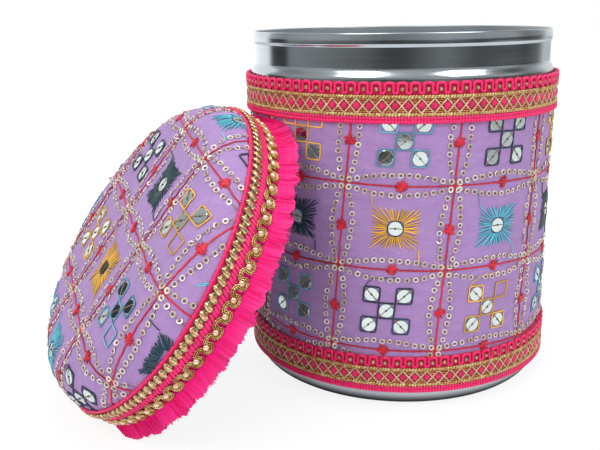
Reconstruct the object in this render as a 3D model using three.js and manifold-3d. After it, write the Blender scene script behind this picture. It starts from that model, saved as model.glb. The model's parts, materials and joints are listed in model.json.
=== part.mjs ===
// A cloth-covered steel canister with its padded lid taken off and leaning against it.
// Millimetres, +Z up. The origin is the middle of the canister's flat base, on the floor.

import * as THREE from "three";
import { mergeVertices } from "three/addons/utils/BufferGeometryUtils.js";
import Module from "manifold-3d";

// Steel pot
const BODY_RADIUS = 82; // outside of the straight wall
const STEEL_WALL = 0.6;
const BASE_CORNER = 10.5; // outside radius of the bottom corner
const WALL_HEIGHT = 155.5; // straight wall, above the corner
const SHOULDER_HEIGHT = 5;
const NECK_INSET = 2; // how far the neck is drawn in from the wall
const NECK_HEIGHT = 11; // plain neck, below the hem
const HEM_HEIGHT = 5; // folded edge round the mouth
const HEM_STEP = 0.6; // how far the fold stands out from the neck

// Layers of cloth and trim
const GLUE_GAP = 0.3; // between a layer and what carries it
const CLOTH = 0.5;
const TAPE = 0.5;
const SEAM_GAP = 0.6; // between the two ends of a wrapped strip
const TRIM_MARGIN = 0.5; // bare wall above the upper lace

// Lace band of the canister, from its lower edge up
const RIB_COUNT = 2;
const RIB_WIDTH = 1.6;
const RIB_RISE = 1.1;
const LACE_GAP = 0.2; // between two trims that lie side by side
const GOLD_CORD = 1.5;
const GOLD_RISE = 1;
const NET_WIDTH = 6.7; // woven net between the two gold cords
const GIMP_WIDTH = 6;
const GIMP_CORD = 1.3;
const GIMP_RISE = 1.2;
const GIMP_PITCH = 5.95; // one square loop and the bend beside it
const GIMP_BEND = 0.35; // between the two legs of a bend
const GIMP_OVERHANG = 3; // loops that stand above the tape

// Lid
const LID_CLEARANCE = 0.4; // round the hem, when the lid is on
const SEAT_GAP = 1.3; // between the lid's edge and the shoulder, when the lid is on
const LID_CORNER = 3;
const DOME_HEIGHT = 18.8; // in the middle
const DOME_SHOULDER = 12; // exponent across: the larger, the squarer the shoulder
const DOME_CROWN = 1.21; // exponent upwards: the larger, the fuller the crown
const SETTLED_DOWN = 0.14; // share by which the stuffing has settled to the lid's lower side
const SETTLED_BACK = 0.2; // and to its far side

// Trim round the lid, from its upper edge down
const EDGE_CORD = 1.2;
const CHAIN_WIDTH = 5.6;
const CHAIN_CORD = 1;
const CHAIN_PITCH = 4.05;
const WAVE_WIDTH = 5.2;
const WAVE_CORD = 1.4;
const WAVE_PITCH = 7.7;
const BRAID_RISE = 1.2;
const BRAID_MARGIN = 0.2; // between the wave braid and the lid's edge

// Brush fringe
const HEADING = 3.8; // height of the woven heading
const FRINGE_DROP = 7.6; // pile below the heading
const FRINGE_FLARE = 5.6; // how far the tips stand out from the heading
const FRINGE_TIP = 3.4; // thickness of the pile at its tips
const TUFT_PITCH = 7.4;
const TUFT_DIP = 0.9; // how much the pile draws in between two tufts

// How the lid leans
const LEAN = THREE.MathUtils.degToRad(33); // its axis above the horizontal
const BEARING = THREE.MathUtils.degToRad(25.5); // its place round the canister, from -X to -Y
const FACING = THREE.MathUtils.degToRad(23.3); // the way its axis points, from -X to -Y
const FLOOR_PILE = 0.8; // fringe pressed between the lid and the floor
const WALL_PILE = 3.8; // fringe pressed between the lid and the canister

// Facets
const SEGMENTS = 48; // round every turned piece
const CORNER_STEPS = 4;
const SHOULDER_STEPS = 3;
const DOME_STEPS = 9;

// Heights on the canister
const wallTop = BASE_CORNER + WALL_HEIGHT;
const shoulderTop = wallTop + SHOULDER_HEIGHT;
const hemLow = shoulderTop + NECK_HEIGHT;
const rimTop = hemLow + HEM_HEIGHT;
const sleeveTop = wallTop - TRIM_MARGIN;

// Levels in a lace band, above its lower edge
const lowerCordLevel = RIB_COUNT * RIB_WIDTH + LACE_GAP;
const upperCordLevel = lowerCordLevel + GOLD_CORD + NET_WIDTH;
const gimpLevel = upperCordLevel + GOLD_CORD + LACE_GAP;
const laceWidth = gimpLevel + GIMP_WIDTH;

// Radii of the canister's layers
const neckRadius = BODY_RADIUS - NECK_INSET;
const hemRadius = neckRadius + HEM_STEP;
const sleeveInside = BODY_RADIUS + GLUE_GAP;
const tapeInside = sleeveInside + CLOTH + GLUE_GAP;
const laceInside = tapeInside + TAPE + GLUE_GAP;
const laceOutside = laceInside + Math.max(RIB_RISE, GOLD_RISE, GIMP_RISE);

// Radii of the lid's layers
const lidBore = hemRadius + LID_CLEARANCE;
const lidRadius = lidBore + STEEL_WALL;
const lidClothInside = lidRadius + GLUE_GAP;
const lidClothOutside = lidClothInside + CLOTH;
const lidTapeInside = lidClothOutside + GLUE_GAP;
const braidInside = lidTapeInside + TAPE + GLUE_GAP;
const braidOutside = braidInside + BRAID_RISE;

// Levels on the lid, from the foot of its dome
const plateTop = -GLUE_GAP;
const plateUnder = plateTop - STEEL_WALL;
const lidEdge = plateUnder - (NECK_HEIGHT + HEM_HEIGHT - SEAT_GAP);
const chainTop = -EDGE_CORD - LACE_GAP;
const waveLow = lidEdge + BRAID_MARGIN;
const headingTop = lidEdge + HEADING;

// Where the leaning lid comes to rest
const sleeveContact = sleeveInside + CLOTH + GLUE_GAP;
const laceContact = laceOutside + GLUE_GAP;
const lidReach = sleeveContact + WALL_PILE - waveLow * Math.cos(LEAN) + braidOutside * Math.sin(LEAN);
const lidHeight = FLOOR_PILE - waveLow * Math.sin(LEAN) + braidOutside * Math.cos(LEAN);

const wasm = await Module();
wasm.setup();

const steel = new THREE.MeshStandardMaterial({ color: 0xb9bdc2, roughness: 0.2, metalness: 1 });
const lilac = new THREE.MeshStandardMaterial({ color: 0xb08cc8, roughness: 0.85, metalness: 0 });
const foam = new THREE.MeshStandardMaterial({ color: 0xf2ecd8, roughness: 0.95, metalness: 0 });
const pink = new THREE.MeshStandardMaterial({ color: 0xff2a7d, roughness: 0.75, metalness: 0 });
const crimson = new THREE.MeshStandardMaterial({ color: 0xcd1941, roughness: 0.7, metalness: 0 });
const gold = new THREE.MeshStandardMaterial({ color: 0xc09a55, roughness: 0.4, metalness: 0.8 });

function point(radius, level) {
  return new THREE.Vector2(radius, level);
}

function arc(centre, radius, from, to, steps) {
  const points = [];
  for (let i = 0; i <= steps; i += 1) {
    const angle = from + ((to - from) * i) / steps;
    points.push(point(centre.x + radius * Math.cos(angle), centre.y + radius * Math.sin(angle)));
  }
  return points;
}

// Turns an outline about the Z axis. The outline has its material on the left.
function turn(outline) {
  return new THREE.LatheGeometry(outline, SEGMENTS).rotateX(Math.PI / 2);
}

// A place on a round wall. Angle 0 is the front, and it grows to the right.
function onWall(radius, angle, level) {
  return new THREE.Vector3(radius * Math.sin(angle), -radius * Math.cos(angle), level);
}

// Skins a row of outlines that all have the same number of points, each with its material on the left.
function skin(outlines, closed) {
  const count = outlines[0].length;
  const last = outlines.length - 1;
  const positions = outlines.flat().flatMap((corner) => corner.toArray());
  const faces = [];
  for (let i = 0; i < (closed ? outlines.length : last); i += 1) {
    const here = i * count;
    const next = ((i + 1) % outlines.length) * count;
    for (let j = 0; j < count; j += 1) {
      const k = (j + 1) % count;
      faces.push(here + j, next + j, next + k, here + j, next + k, here + k);
    }
  }
  if (!closed) {
    for (let j = 1; j < count - 1; j += 1) {
      faces.push(0, j, j + 1, last * count, last * count + j + 1, last * count + j);
    }
  }
  const geometry = new THREE.BufferGeometry();
  geometry.setAttribute("position", new THREE.Float32BufferAttribute(positions, 3));
  geometry.setIndex(faces);
  geometry.computeVertexNormals();
  return geometry;
}

// A strip of cloth wrapped round a wall, with its two ends butted at the back.
function wrap(inside, thickness, low, high) {
  const outside = inside + thickness;
  const halfGap = SEAM_GAP / 2 / inside;
  const outlines = [];
  for (let i = 0; i <= SEGMENTS; i += 1) {
    const around = (2 * Math.PI * i) / SEGMENTS;
    const angle = Math.PI + THREE.MathUtils.clamp(around, halfGap, 2 * Math.PI - halfGap);
    outlines.push([
      onWall(inside, angle, low),
      onWall(outside, angle, low),
      onWall(outside, angle, high),
      onWall(inside, angle, high),
    ]);
  }
  return skin(outlines, false);
}

// A cord laid on a round wall along a closed route of (way round, level) points, with mitred corners.
function layCord(route, inside, width, rise) {
  const round = 2 * Math.PI * inside;
  const outlines = route.map((here, i) => {
    const before = route[(i + route.length - 1) % route.length].clone();
    const after = route[(i + 1) % route.length].clone();
    if (i === 0) before.x -= round;
    if (i === route.length - 1) after.x += round;
    const arriving = here.clone().sub(before).normalize();
    const leaving = after.sub(here).normalize();
    const along = arriving.clone().add(leaving).normalize();
    const right = new THREE.Vector2(along.y, -along.x);
    const mitre = width / 2 / along.dot(arriving);
    const rightEdge = here.clone().addScaledVector(right, mitre);
    const leftEdge = here.clone().addScaledVector(right, -mitre);
    return [
      onWall(inside, rightEdge.x / inside, rightEdge.y),
      onWall(inside + rise, here.x / inside, here.y),
      onWall(inside, leftEdge.x / inside, leftEdge.y),
    ];
  });
  return skin(outlines, true);
}

// A plain hoop of cord whose lower edge is at a level.
function hoop(inside, low, width, rise) {
  const route = [];
  for (let i = 0; i < SEGMENTS; i += 1) {
    route.push(point((2 * Math.PI * inside * i) / SEGMENTS, low + width / 2));
  }
  return layCord(route, inside, width, rise);
}

// A cord that winds up and down between two levels. Each step is a share of the pitch and of the height.
function meander(inside, pitch, steps, low, high, width, rise) {
  const round = 2 * Math.PI * inside;
  const count = Math.round(round / pitch);
  const route = [];
  for (let i = 0; i < count; i += 1) {
    for (const [across, up] of steps) {
      route.push(point((round * (i + across)) / count, low + (high - low) * up));
    }
  }
  return layCord(route, inside, width, rise);
}

// A geometry, placed by a matrix, as a solid that can be cut.
function solidFrom(geometry, matrix) {
  const bare = geometry.clone().applyMatrix4(matrix);
  bare.deleteAttribute("normal");
  bare.deleteAttribute("uv");
  const merged = mergeVertices(bare);
  return new wasm.Manifold(
    new wasm.Mesh({
      numProp: 3,
      vertProperties: new Float32Array(merged.attributes.position.array),
      triVerts: new Uint32Array(merged.index.array),
    }),
  );
}

function geometryFrom(solid) {
  const mesh = solid.getMesh();
  const geometry = new THREE.BufferGeometry();
  geometry.setAttribute("position", new THREE.Float32BufferAttribute(mesh.vertProperties, 3));
  geometry.setIndex(Array.from(mesh.triVerts));
  geometry.computeVertexNormals();
  return geometry;
}

function add(group, name, geometry, material) {
  const mesh = new THREE.Mesh(geometry, material);
  mesh.name = name;
  group.add(mesh);
}

// The shoulder's wall swings in from the body to the neck. The inset moves it to the inner face.
function shoulder(inset) {
  const points = [];
  for (let i = 0; i <= SHOULDER_STEPS; i += 1) {
    const rise = i / SHOULDER_STEPS;
    const drawnIn = (NECK_INSET * (1 - Math.cos(Math.PI * rise))) / 2;
    points.push(point(BODY_RADIUS - inset - drawnIn, wallTop + SHOULDER_HEIGHT * rise));
  }
  return points;
}

// One drawn piece of steel: flat base, round corner, straight wall, shoulder, neck and folded hem.
function canisterPot() {
  const cornerCentre = point(BODY_RADIUS - BASE_CORNER, BASE_CORNER);
  const lipRadius = (HEM_STEP + STEEL_WALL) / 2;
  const lipCentre = point(hemRadius - lipRadius, rimTop - lipRadius);
  return turn([
    point(0, 0),
    ...arc(cornerCentre, BASE_CORNER, -Math.PI / 2, 0, CORNER_STEPS),
    ...shoulder(0),
    point(neckRadius, hemLow - HEM_STEP),
    point(hemRadius, hemLow),
    ...arc(lipCentre, lipRadius, 0, Math.PI, CORNER_STEPS),
    ...shoulder(STEEL_WALL).reverse(),
    ...arc(cornerCentre, BASE_CORNER - STEEL_WALL, 0, -Math.PI / 2, CORNER_STEPS),
    point(0, STEEL_WALL),
  ]);
}

// Round ribs side by side, on the lower edge of a lace band.
function edgeRibs(low) {
  const outline = [point(laceInside, low)];
  for (let i = 0; i < RIB_COUNT; i += 1) {
    const ribLow = low + i * RIB_WIDTH;
    if (i > 0) outline.push(point(laceInside + RIB_RISE / 2, ribLow));
    outline.push(point(laceInside + RIB_RISE, ribLow + RIB_WIDTH / 2));
  }
  outline.push(point(laceInside, low + RIB_COUNT * RIB_WIDTH));
  outline.push(outline[0].clone());
  return turn(outline);
}

const SLANTED_LINK = [[0, 0], [0.7, 1]];
const ROUND_WAVE = [[0, 0], [0.25, 1], [0.5, 1], [0.75, 0]];

// The gimp's cord goes up, over a wide window, down and through a narrow bend.
function gimpLoops(low) {
  const inset = GIMP_CORD / 2;
  const opening = 1 - (GIMP_CORD + GIMP_BEND) / GIMP_PITCH;
  const squareLoop = [[0, 0], [0, 1], [opening, 1], [opening, 0]];
  return meander(laceInside, GIMP_PITCH, squareLoop, low + inset, low + GIMP_WIDTH - inset,
    GIMP_CORD, GIMP_RISE);
}

// A lace band: tape, edge ribs, two gold cords and a looped gimp.
function addLace(group, place, low) {
  add(group, `${place}_lace_tape`, wrap(tapeInside, TAPE, low, low + laceWidth - GIMP_OVERHANG), crimson);
  add(group, `${place}_edge_ribs`, edgeRibs(low), pink);
  add(group, `${place}_gold_cord_1`, hoop(laceInside, low + lowerCordLevel, GOLD_CORD, GOLD_RISE), gold);
  add(group, `${place}_gold_cord_2`, hoop(laceInside, low + upperCordLevel, GOLD_CORD, GOLD_RISE), gold);
  add(group, `${place}_looped_gimp`, gimpLoops(low + gimpLevel), pink);
}

// Half the outline of the padded dome, from its foot up to the middle of its crown.
function dome(radius, height) {
  const points = [];
  for (let i = 0; i < DOME_STEPS; i += 1) {
    const turned = ((Math.PI / 2) * i) / DOME_STEPS;
    const across = Math.cos(turned) ** (2 / DOME_SHOULDER);
    const up = Math.sin(turned) ** (2 / DOME_CROWN);
    points.push(point(radius * across, height * up));
  }
  points.push(point(0, height));
  return points;
}

// Raises one side of a dome and lowers the other, as its stuffing has settled.
function settle(geometry) {
  const places = geometry.attributes.position;
  for (let i = 0; i < places.count; i += 1) {
    const level = Math.max(places.getZ(i), 0);
    const share = (SETTLED_BACK * places.getY(i) - SETTLED_DOWN * places.getX(i)) / lidClothOutside;
    places.setZ(i, places.getZ(i) + level * share);
  }
  geometry.computeVertexNormals();
  return geometry;
}

// The steel lid: a flat plate with a round corner and a straight skirt that slips over the hem.
function lidPan() {
  const cornerCentre = point(lidRadius - LID_CORNER, plateTop - LID_CORNER);
  return turn([
    point(0, plateUnder),
    ...arc(cornerCentre, LID_CORNER - STEEL_WALL, Math.PI / 2, 0, CORNER_STEPS),
    point(lidBore, lidEdge),
    point(lidRadius, lidEdge),
    ...arc(cornerCentre, LID_CORNER, 0, Math.PI / 2, CORNER_STEPS),
    point(0, plateTop),
  ]);
}

function lidPad() {
  const shrink = CLOTH + GLUE_GAP;
  return settle(turn([point(0, 0), ...dome(lidClothOutside - shrink, DOME_HEIGHT - shrink)]));
}

// The cover lies over the pad and down the skirt.
function lidCover() {
  const outline = [
    ...dome(lidClothInside, DOME_HEIGHT - CLOTH).reverse(),
    point(lidClothInside, lidEdge),
    point(lidClothOutside, lidEdge),
    ...dome(lidClothOutside, DOME_HEIGHT),
  ];
  return settle(turn(outline));
}

function chainBraid() {
  return meander(braidInside, CHAIN_PITCH, SLANTED_LINK, chainTop - CHAIN_WIDTH + CHAIN_CORD,
    chainTop - CHAIN_CORD, CHAIN_CORD, BRAID_RISE);
}

function waveBraid() {
  const inset = WAVE_CORD / 2;
  return meander(braidInside, WAVE_PITCH, ROUND_WAVE, waveLow + inset, waveLow + WAVE_WIDTH - inset,
    WAVE_CORD, BRAID_RISE);
}

// A thick brush of cut threads in tufts, hanging from a heading behind the wave braid.
function brush() {
  const headingOutside = lidTapeInside + TAPE;
  const tufts = Math.round((2 * Math.PI * lidTapeInside) / TUFT_PITCH);
  const tipLevel = lidEdge - FRINGE_DROP;
  const outlines = [];
  for (let i = 0; i < 2 * tufts; i += 1) {
    const angle = (Math.PI * i) / tufts;
    const dip = i % 2 === 0 ? 0 : TUFT_DIP;
    const tip = headingOutside + FRINGE_FLARE - dip;
    outlines.push([
      onWall(lidTapeInside, angle, headingTop),
      onWall(lidTapeInside, angle, lidEdge),
      onWall(tip - FRINGE_TIP, angle, tipLevel + dip),
      onWall(tip, angle, tipLevel + dip),
      onWall(headingOutside + FRINGE_FLARE / 2 - dip / 2, angle, lidEdge - FRINGE_DROP / 2),
      onWall(headingOutside, angle, lidEdge),
      onWall(headingOutside, angle, headingTop),
    ]);
  }
  return skin(outlines, true);
}

// The brush in its place on the lid, flattened where it is pressed on the floor and on the canister.
function lidFringe(lid) {
  lid.updateMatrix();
  const toLid = lid.matrix.clone().invert();
  const around = 2 * (lidReach + lidRadius);
  const floor = new THREE.BoxGeometry(around, around, around).translate(0, 0, -around / 2);
  const laceFoot = sleeveTop - laceWidth - GLUE_GAP;
  const canister = turn([
    point(0, 0),
    point(sleeveContact, 0),
    point(sleeveContact, laceFoot),
    point(laceContact, laceFoot),
    point(laceContact, rimTop),
    point(0, rimTop),
  ]);
  const whole = solidFrom(brush(), new THREE.Matrix4());
  return geometryFrom(whole.subtract(solidFrom(floor, toLid)).subtract(solidFrom(canister, toLid)));
}

const box = new THREE.Group();

const canister = new THREE.Group();
add(canister, "canister_pot", canisterPot(), steel);
add(canister, "sleeve_cloth", wrap(sleeveInside, CLOTH, BASE_CORNER, sleeveTop), lilac);
addLace(canister, "lower", BASE_CORNER);
addLace(canister, "upper", sleeveTop - laceWidth);
box.add(canister);

const lid = new THREE.Group();
lid.position.set(-lidReach * Math.cos(BEARING), -lidReach * Math.sin(BEARING), lidHeight);
lid.rotation.set(0, LEAN - Math.PI / 2, FACING, "ZYX");
add(lid, "lid_pan", lidPan(), steel);
add(lid, "lid_pad", lidPad(), foam);
add(lid, "lid_cover", lidCover(), lilac);
add(lid, "lid_edge_cord", hoop(lidTapeInside, -EDGE_CORD, EDGE_CORD, EDGE_CORD), pink);
add(lid, "lid_tape", wrap(lidTapeInside, TAPE, headingTop + LACE_GAP, chainTop), pink);
add(lid, "lid_chain_braid", chainBraid(), gold);
add(lid, "lid_wave_braid", waveBraid(), gold);
add(lid, "lid_fringe", lidFringe(lid), pink);
box.add(lid);

export default box;
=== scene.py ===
# Dresses the solids of a cloth-covered steel canister and its padded lid. Metres, in the solids' frame.

import json
import math
from typing import NamedTuple

import bpy
import numpy as np
from mathutils import Matrix, Vector

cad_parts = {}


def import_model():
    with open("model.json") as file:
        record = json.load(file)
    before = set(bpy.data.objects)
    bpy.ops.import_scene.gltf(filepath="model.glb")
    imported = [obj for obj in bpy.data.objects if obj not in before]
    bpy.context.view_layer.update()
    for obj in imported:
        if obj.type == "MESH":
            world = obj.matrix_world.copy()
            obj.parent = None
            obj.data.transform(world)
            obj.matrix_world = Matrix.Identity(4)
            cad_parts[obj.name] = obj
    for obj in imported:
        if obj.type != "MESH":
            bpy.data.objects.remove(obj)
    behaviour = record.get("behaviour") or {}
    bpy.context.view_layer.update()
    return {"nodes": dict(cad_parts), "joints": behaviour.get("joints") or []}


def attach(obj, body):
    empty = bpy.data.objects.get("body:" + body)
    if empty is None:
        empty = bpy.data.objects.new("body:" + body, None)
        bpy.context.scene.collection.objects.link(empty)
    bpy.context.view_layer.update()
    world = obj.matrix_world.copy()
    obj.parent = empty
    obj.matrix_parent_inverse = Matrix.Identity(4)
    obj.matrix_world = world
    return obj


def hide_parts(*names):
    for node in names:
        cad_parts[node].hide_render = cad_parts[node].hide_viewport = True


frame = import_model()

MM = 0.001
TURN = 2 * math.pi
chance = np.random.default_rng(7)


class Cord(NamedTuple):
    """Half width, half height and height of the middle of a cord, in millimetres, and its sides.

    A twisted cord has lobes that wind round it, with a depth and a length. Sharp ones meet in a groove.
    """

    wide: float
    high: float
    lift: float
    sides: int = 6
    lobes: float = 0
    depth: float = 0
    twist: float = 1
    sharp: bool = False


# Camera, as it stood for the photograph
CAMERA_LENS = 47.61
CAMERA_SENSOR = 36
CAMERA_PLACE = (-0.05642, -0.4486, 0.1972)
CAMERA_DOWN = math.radians(15.1)
CAMERA_ROLL = math.radians(-0.862)

# Steel pot and lid
STEEL_WALL = 0.6 * MM
BASE_CORNER = 10.5 * MM
WALL_TOP = 166 * MM
SHOULDER_HEIGHT = 5 * MM
NECK_INSET = 2 * MM
HEM_HEIGHT = 5 * MM
HEM_STEP = 0.6 * MM
HEM_FOLD = 1.6 * MM
HEM_LEAN = 0.35 * MM
HEM_BULGE = 0.2 * MM
LID_CORNER = 3 * MM
STEEL_SEGMENTS = 240
STEEL_CREASE = 30
BASE_STEPS = 12
LIP_STEPS = 10
LID_CORNER_STEPS = 8
LID_EDGE_STEPS = 6

# Cloth
CLOTH = 0.5 * MM
GLUE_GAP = 0.3 * MM
SEAM_GAP = 0.6 * MM
SLEEVE_TUCK = 2 * MM
YARN = 0.42 * MM
FOAM_INSET = 0.5 * MM
# Columns and rows of the strips
SLEEVE_CELLS = (480, 130)
TAPE_CELLS = (240, 8)
HEADING_CELLS = (240, 4)
# Points round the lid's cover and foam, and rings from the middle of the crown
COVER_ANGLES = 400
COVER_OUTER = np.linspace(0.005, 1, 150)
COVER_INNER = np.linspace(1, 0.03, 40)
FOAM_ANGLES = 120
FOAM_RINGS = np.linspace(0.02, 1, 40)

# Lace band, above its lower edge. A cord without a width takes that of its solid
RIB_COUNT = 2
TAPE_HEIGHT = 18.9 * MM
NET_LOW = 4.9 * MM
NET_HIGH = 11.6 * MM
NET_STEP = 0.55 * MM
FILL_DEPTHS = (0.6 * MM, 1.6 * MM)
FILL_MARGIN = 0.4 * MM
GIMP_PITCH = 5.95 * MM
GIMP_WINDOW = 3.9 * MM
GIMP_TOP_CORNER = 1.3 * MM
GIMP_FOOT_CORNER = 1 * MM
GIMP_STEP = 0.4 * MM
CORD_PITCH = 1.5 * MM
RIB_STEP = 0.27 * MM
ZARI_STEP = 0.36 * MM
RIB = Cord(0.8, 0.62, 0.45, 8, 1, 0.26, sharp=True)
ZARI_CORD = Cord(None, 0.6, 0.45, 10, 1, 0.28, sharp=True)
GIMP = Cord(0.7, 0.66, 0.5, 8, 2, 0.1, 2.4)
WIRE = Cord(0.2, 0.2, 0.5, 5)
FILL = Cord(0.22, 0.2, 0.2, 4)
LOZENGE_FORM = (1.45, 0.8, 6, 16)
LOZENGE = {"lift": 0.35 * MM, "sizes": (1.8 * MM, 2.1 * MM, 0.7 * MM), "tilt": 0.03}
GIMP_BEAD_FORM = (0.6, 0.6, 6, 12)
GIMP_BEAD = {"lift": 0.35 * MM, "sizes": (0.85 * MM, 0.95 * MM, 0.8 * MM), "tilt": 0.08}
GIMP_BEAD_DROP = 0.5 * MM

# Lid
DOME_SHOULDER = 12
DOME_CROWN = 1.21
SETTLED_DOWN = 0.14
SETTLED_BACK = 0.2
EDGE_CORD = Cord(None, 0.75, 0.5, 8, 2, 0.1, 2.8)
EDGE_SWELL = 0.15 * MM
EDGE_STEP = 0.4 * MM
CHAIN_WIDTH = 5.2 * MM
CHAIN_PITCH = 4.05 * MM
CHAIN_STEP = 0.3 * MM
CHAIN = Cord(None, 0.74, 0.8, 28, 0.7, 0.38)
# The dark core under the chain is painted shade, seen in the chain's notches.
CHAIN_SHADE_CORE = Cord(None, 0.2, 0.25)
SHADE_CORE_WIDER = 1.05
KNIT_PITCH = 1.95 * MM
KNIT_STRAY = 0.06 * MM
KNIT_OVERLAP = 0.3 * MM
KNIT_SLANT = 1 * MM
KNIT_SHARES = np.linspace(-1, 1, 8)
KNIT_SWELL = np.sqrt(1 - 0.7 * KNIT_SHARES ** 6)
KNIT = Cord(0.8 * KNIT_SWELL, 0.55 * KNIT_SWELL, 0.15 + 0.3 * (1 - KNIT_SHARES ** 2))
WAVE_WIDTH = 6.6 * MM
WAVE_PITCH = 7.7 * MM
WAVE_CORD = 1.1 * MM
WAVE_BULGE = 0.95 * MM
WAVE_STEPS = 36
WAVE_OFFSETS = (-0.72, 0, 0.72)
WAVE_STRANDS = [Cord(0.32, 0.42, 0.95 - 0.3 * abs(offset), 8) for offset in WAVE_OFFSETS]
# The wave's dark core is painted shade between its strands.
WAVE_SHADE_CORE = Cord(0.99, 0.25, 0.3)
BRAID_MARGIN = -0.5 * MM
BEAD_FORM = (1, 1, 8, 14)
BEAD = {"lift": 1.0 * MM, "sizes": (1.4 * MM, 1.4 * MM, 1.1 * MM)}
BEAD_RISE = 0.2 * MM
TIE_RISE = 0.9 * MM
TIE = {"lift": 0.5 * MM, "sizes": (0.5 * MM, 0.4 * MM, 0.4 * MM), "tilt": 0.3}

# Brush fringe of the lid
HEADING = 3.8 * MM
FRINGE_DROP = 7.6 * MM
FRINGE_FLARE = 5.6 * MM
FRINGE_PRESSED = 3.5 * MM
PRESSED_TURN = 0.15
PRESSED_POWER = 6
FRINGE_DEPTH = 3.4 * MM
FRINGE_CURVE = 1.6
TUFT_PITCH = 7.4 * MM
TUFT_NOTCH = 0.16
TUFT_UNEVEN = 0.4 * MM
# The pile and the strays start above the lid's edge, and vary in length, bulge and sway
PILE_COLUMNS = 1600
PILE_START = 1.2 * MM
PILE_UNEVEN = (0.48 * MM, 0.32 * MM)
PILE_SWELL = (0.42 * MM, 0.22 * MM)
# Over how many columns the wide and fine variations of length and bulge are smoothed
UNEVEN_COLUMNS = (4, 1)
SWELL_COLUMNS = (5, 1)
PILE_SWAY = 0.5 * MM
PILE_ROUND = 0.4 * MM
PILE_ROOT = (0.3 * MM, -0.4 * MM)
STRANDS = 4200
STRAND = 0.15 * MM
STRAY_START = 1 * MM
STRAY_PAST = 0.2 * MM
STRAY_UNEVEN = 0.55 * MM
STRAY_SWAY = 0.5 * MM
STRAY_ROUND = 0.35 * MM
STRAY_DEPTH = 0.9 * FRINGE_DEPTH
STRAY_ROOT = (0.35 * MM, 0.6 * MM)
# Least height above the floor and gap to the canister, and how much more the inner floss has
FLOOR_CLEAR = (0.35 * MM, 0.6 * MM)
WALL_CLEAR = (0.5 * MM, 0.5 * MM)
LACE_BELOW = 1.5 * MM

# Embroidery
SLEEVE_FIRST = (math.radians(12.1), 116.1 * MM)
SLEEVE_COLUMN = (math.radians(36.6), -1.5 * MM)
SLEEVE_ROW = (math.radians(-2.6), -42.1 * MM)
LID_FIRST = (70.6 * MM, 40 * MM)
LID_COLUMN = (-50.1 * MM, 9.95 * MM)
LID_ROW = (-8 * MM, -40.9 * MM)
# Columns and rows that are sewn, each from the first number up to the second
SLEEVE_SEWN = ((-6, 6), (-1, 3))
LID_SEWN = ((-2, 5), (-1, 5))
# How far the stitches run on under the lace and past the dome's foot
UNDER_LACE = 1.5 * MM
PAST_DOME = 0.7 * MM
SEQUIN = 1.48 * MM
SEQUIN_HOLE = 0.82 * MM
SEQUIN_THICK = 0.35 * MM
SEQUIN_BEVEL = 0.12 * MM
SEQUIN_HOLE_BEVEL = 0.1 * MM
SEQUIN_DISH = 0.7
SEQUIN_STRAY = 0.2 * MM
SEQUIN_PITCH = 4.2 * MM
MIRROR = 3.6 * MM
MIRROR_THICK = 0.45 * MM
MIRROR_BEVEL = 0.25 * MM
KNOT = 0.36 * MM
KNOT_LOOP = 0.42 * MM
KNOT_STEPS = 8
SQUARE = 8 * MM
SQUARE_STEP = 0.8 * MM
SQUARE_CORNERS = [(0, -1), (1, -1), (1, 1), (-1, 1), (-1, -1), (-0.05, -1)]
SQUARE_ROUND = 0.22
BURST = (11.6 * MM, 10 * MM)
BURST_HOLE = 4.1 * MM
BURST_STITCHES = 46
BURST_BOW = 0.25 * MM
BURST_SHARES = np.linspace(0, 1, 5)[:, None]
BURST_STRAY = 0.2
BURST_LENGTHS = (0.9, 1.05)
BURST_CORNER = 0.12
RING_MARGIN = 0.2 * MM
RING_STEPS = 27
STAR = 3.3 * MM
STAR_POINTS = 11
STAR_SHARES = np.array([[0.02], [0.35], [0.75], [1]])
STAR_STRAY = 0.25
STAR_LENGTHS = (0.76, 1.08)
BOW = (1.3 * MM, 5 * MM)
LINE_STRAY = 0.35 * MM
LINE_SHARES = np.linspace(0, 1, 40)
ZARI_SHARES = np.linspace(0.01, 0.99, 24)
# A loop of thread stops just short of a turn
LOOP = 0.97 * TURN
RED_STITCH = Cord(0.44, 0.36, 0.22, 6, 2, 0.16, 2.2)
ZARI_STITCH = Cord(0.24, 0.2, 0.15)
STAR_STITCH = Cord([0.36, 0.52, 0.48, 0.32], [0.36, 0.42, 0.36, 0.2], [0.6, 0.55, 0.4, 0.2])
BURST_STITCH = Cord(
    [0.27, 0.33, 0.35, 0.34, 0.26], [0.28, 0.36, 0.38, 0.34, 0.24], [0.5, 0.46, 0.4, 0.3, 0.15], 5)
SQUARE_STITCH = Cord(0.42, 0.38, 0.32, 6, 2, 0.15, 2)
RING_STITCH = Cord(0.22, 0.2, 0.3)
KNOT_STITCH = Cord(0.17, 0.17, 0.7, 4)
OVER_SHARES = np.linspace(-1, 1, 9)
OVER_STITCH = Cord(0.17, 0.15, 0.85 - 0.6 * np.abs(OVER_SHARES) ** 8, 4)
BURST_TAIL = Cord(0.3, 0.26, 0.2)
# Ends of thread that run on from a motif, from the middle of its cell
BURST_TAIL_PATH = np.array([(12.3, 10.8), (12.5, 13), (13.2, 17)]) * MM
SQUARE_TAIL_PATH = np.array([(-11.8, -11.8), (-10.5, -14), (-8, -16.2), (-3, -17), (4, -17.4)]) * MM

# Studio. The surround and the panels show only in what is polished
LAMP_TARGET = (-0.05, 0, 0.09)
LAMPS = [
    ("key", (-0.55, -0.75, 0.75), (0.6, 0.6), 4.4),
    ("fill", (0.7, -0.6, 0.6), (0.6, 0.6), 2.7),
    ("top", (0, 0.1, 1.1), (0.7, 0.7), 4.0),
]
WORLD_LIGHT = 0.45
WORLD_SHINE = 0.92
FLOOR_REACH = 4
FLOOR_GLOW = (0.86, 1)
FLOOR_GLOW_REACH = (0.2, 0.6)
FLOOR_SHADOW = 0.2
FLOOR_SHINE = 0.25
FLOOR_LIT = 0.85
# Grey of the painted shadow that only polished things see on the floor near the base
FLOOR_PAINTED_SHADOW = 0.16
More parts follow.
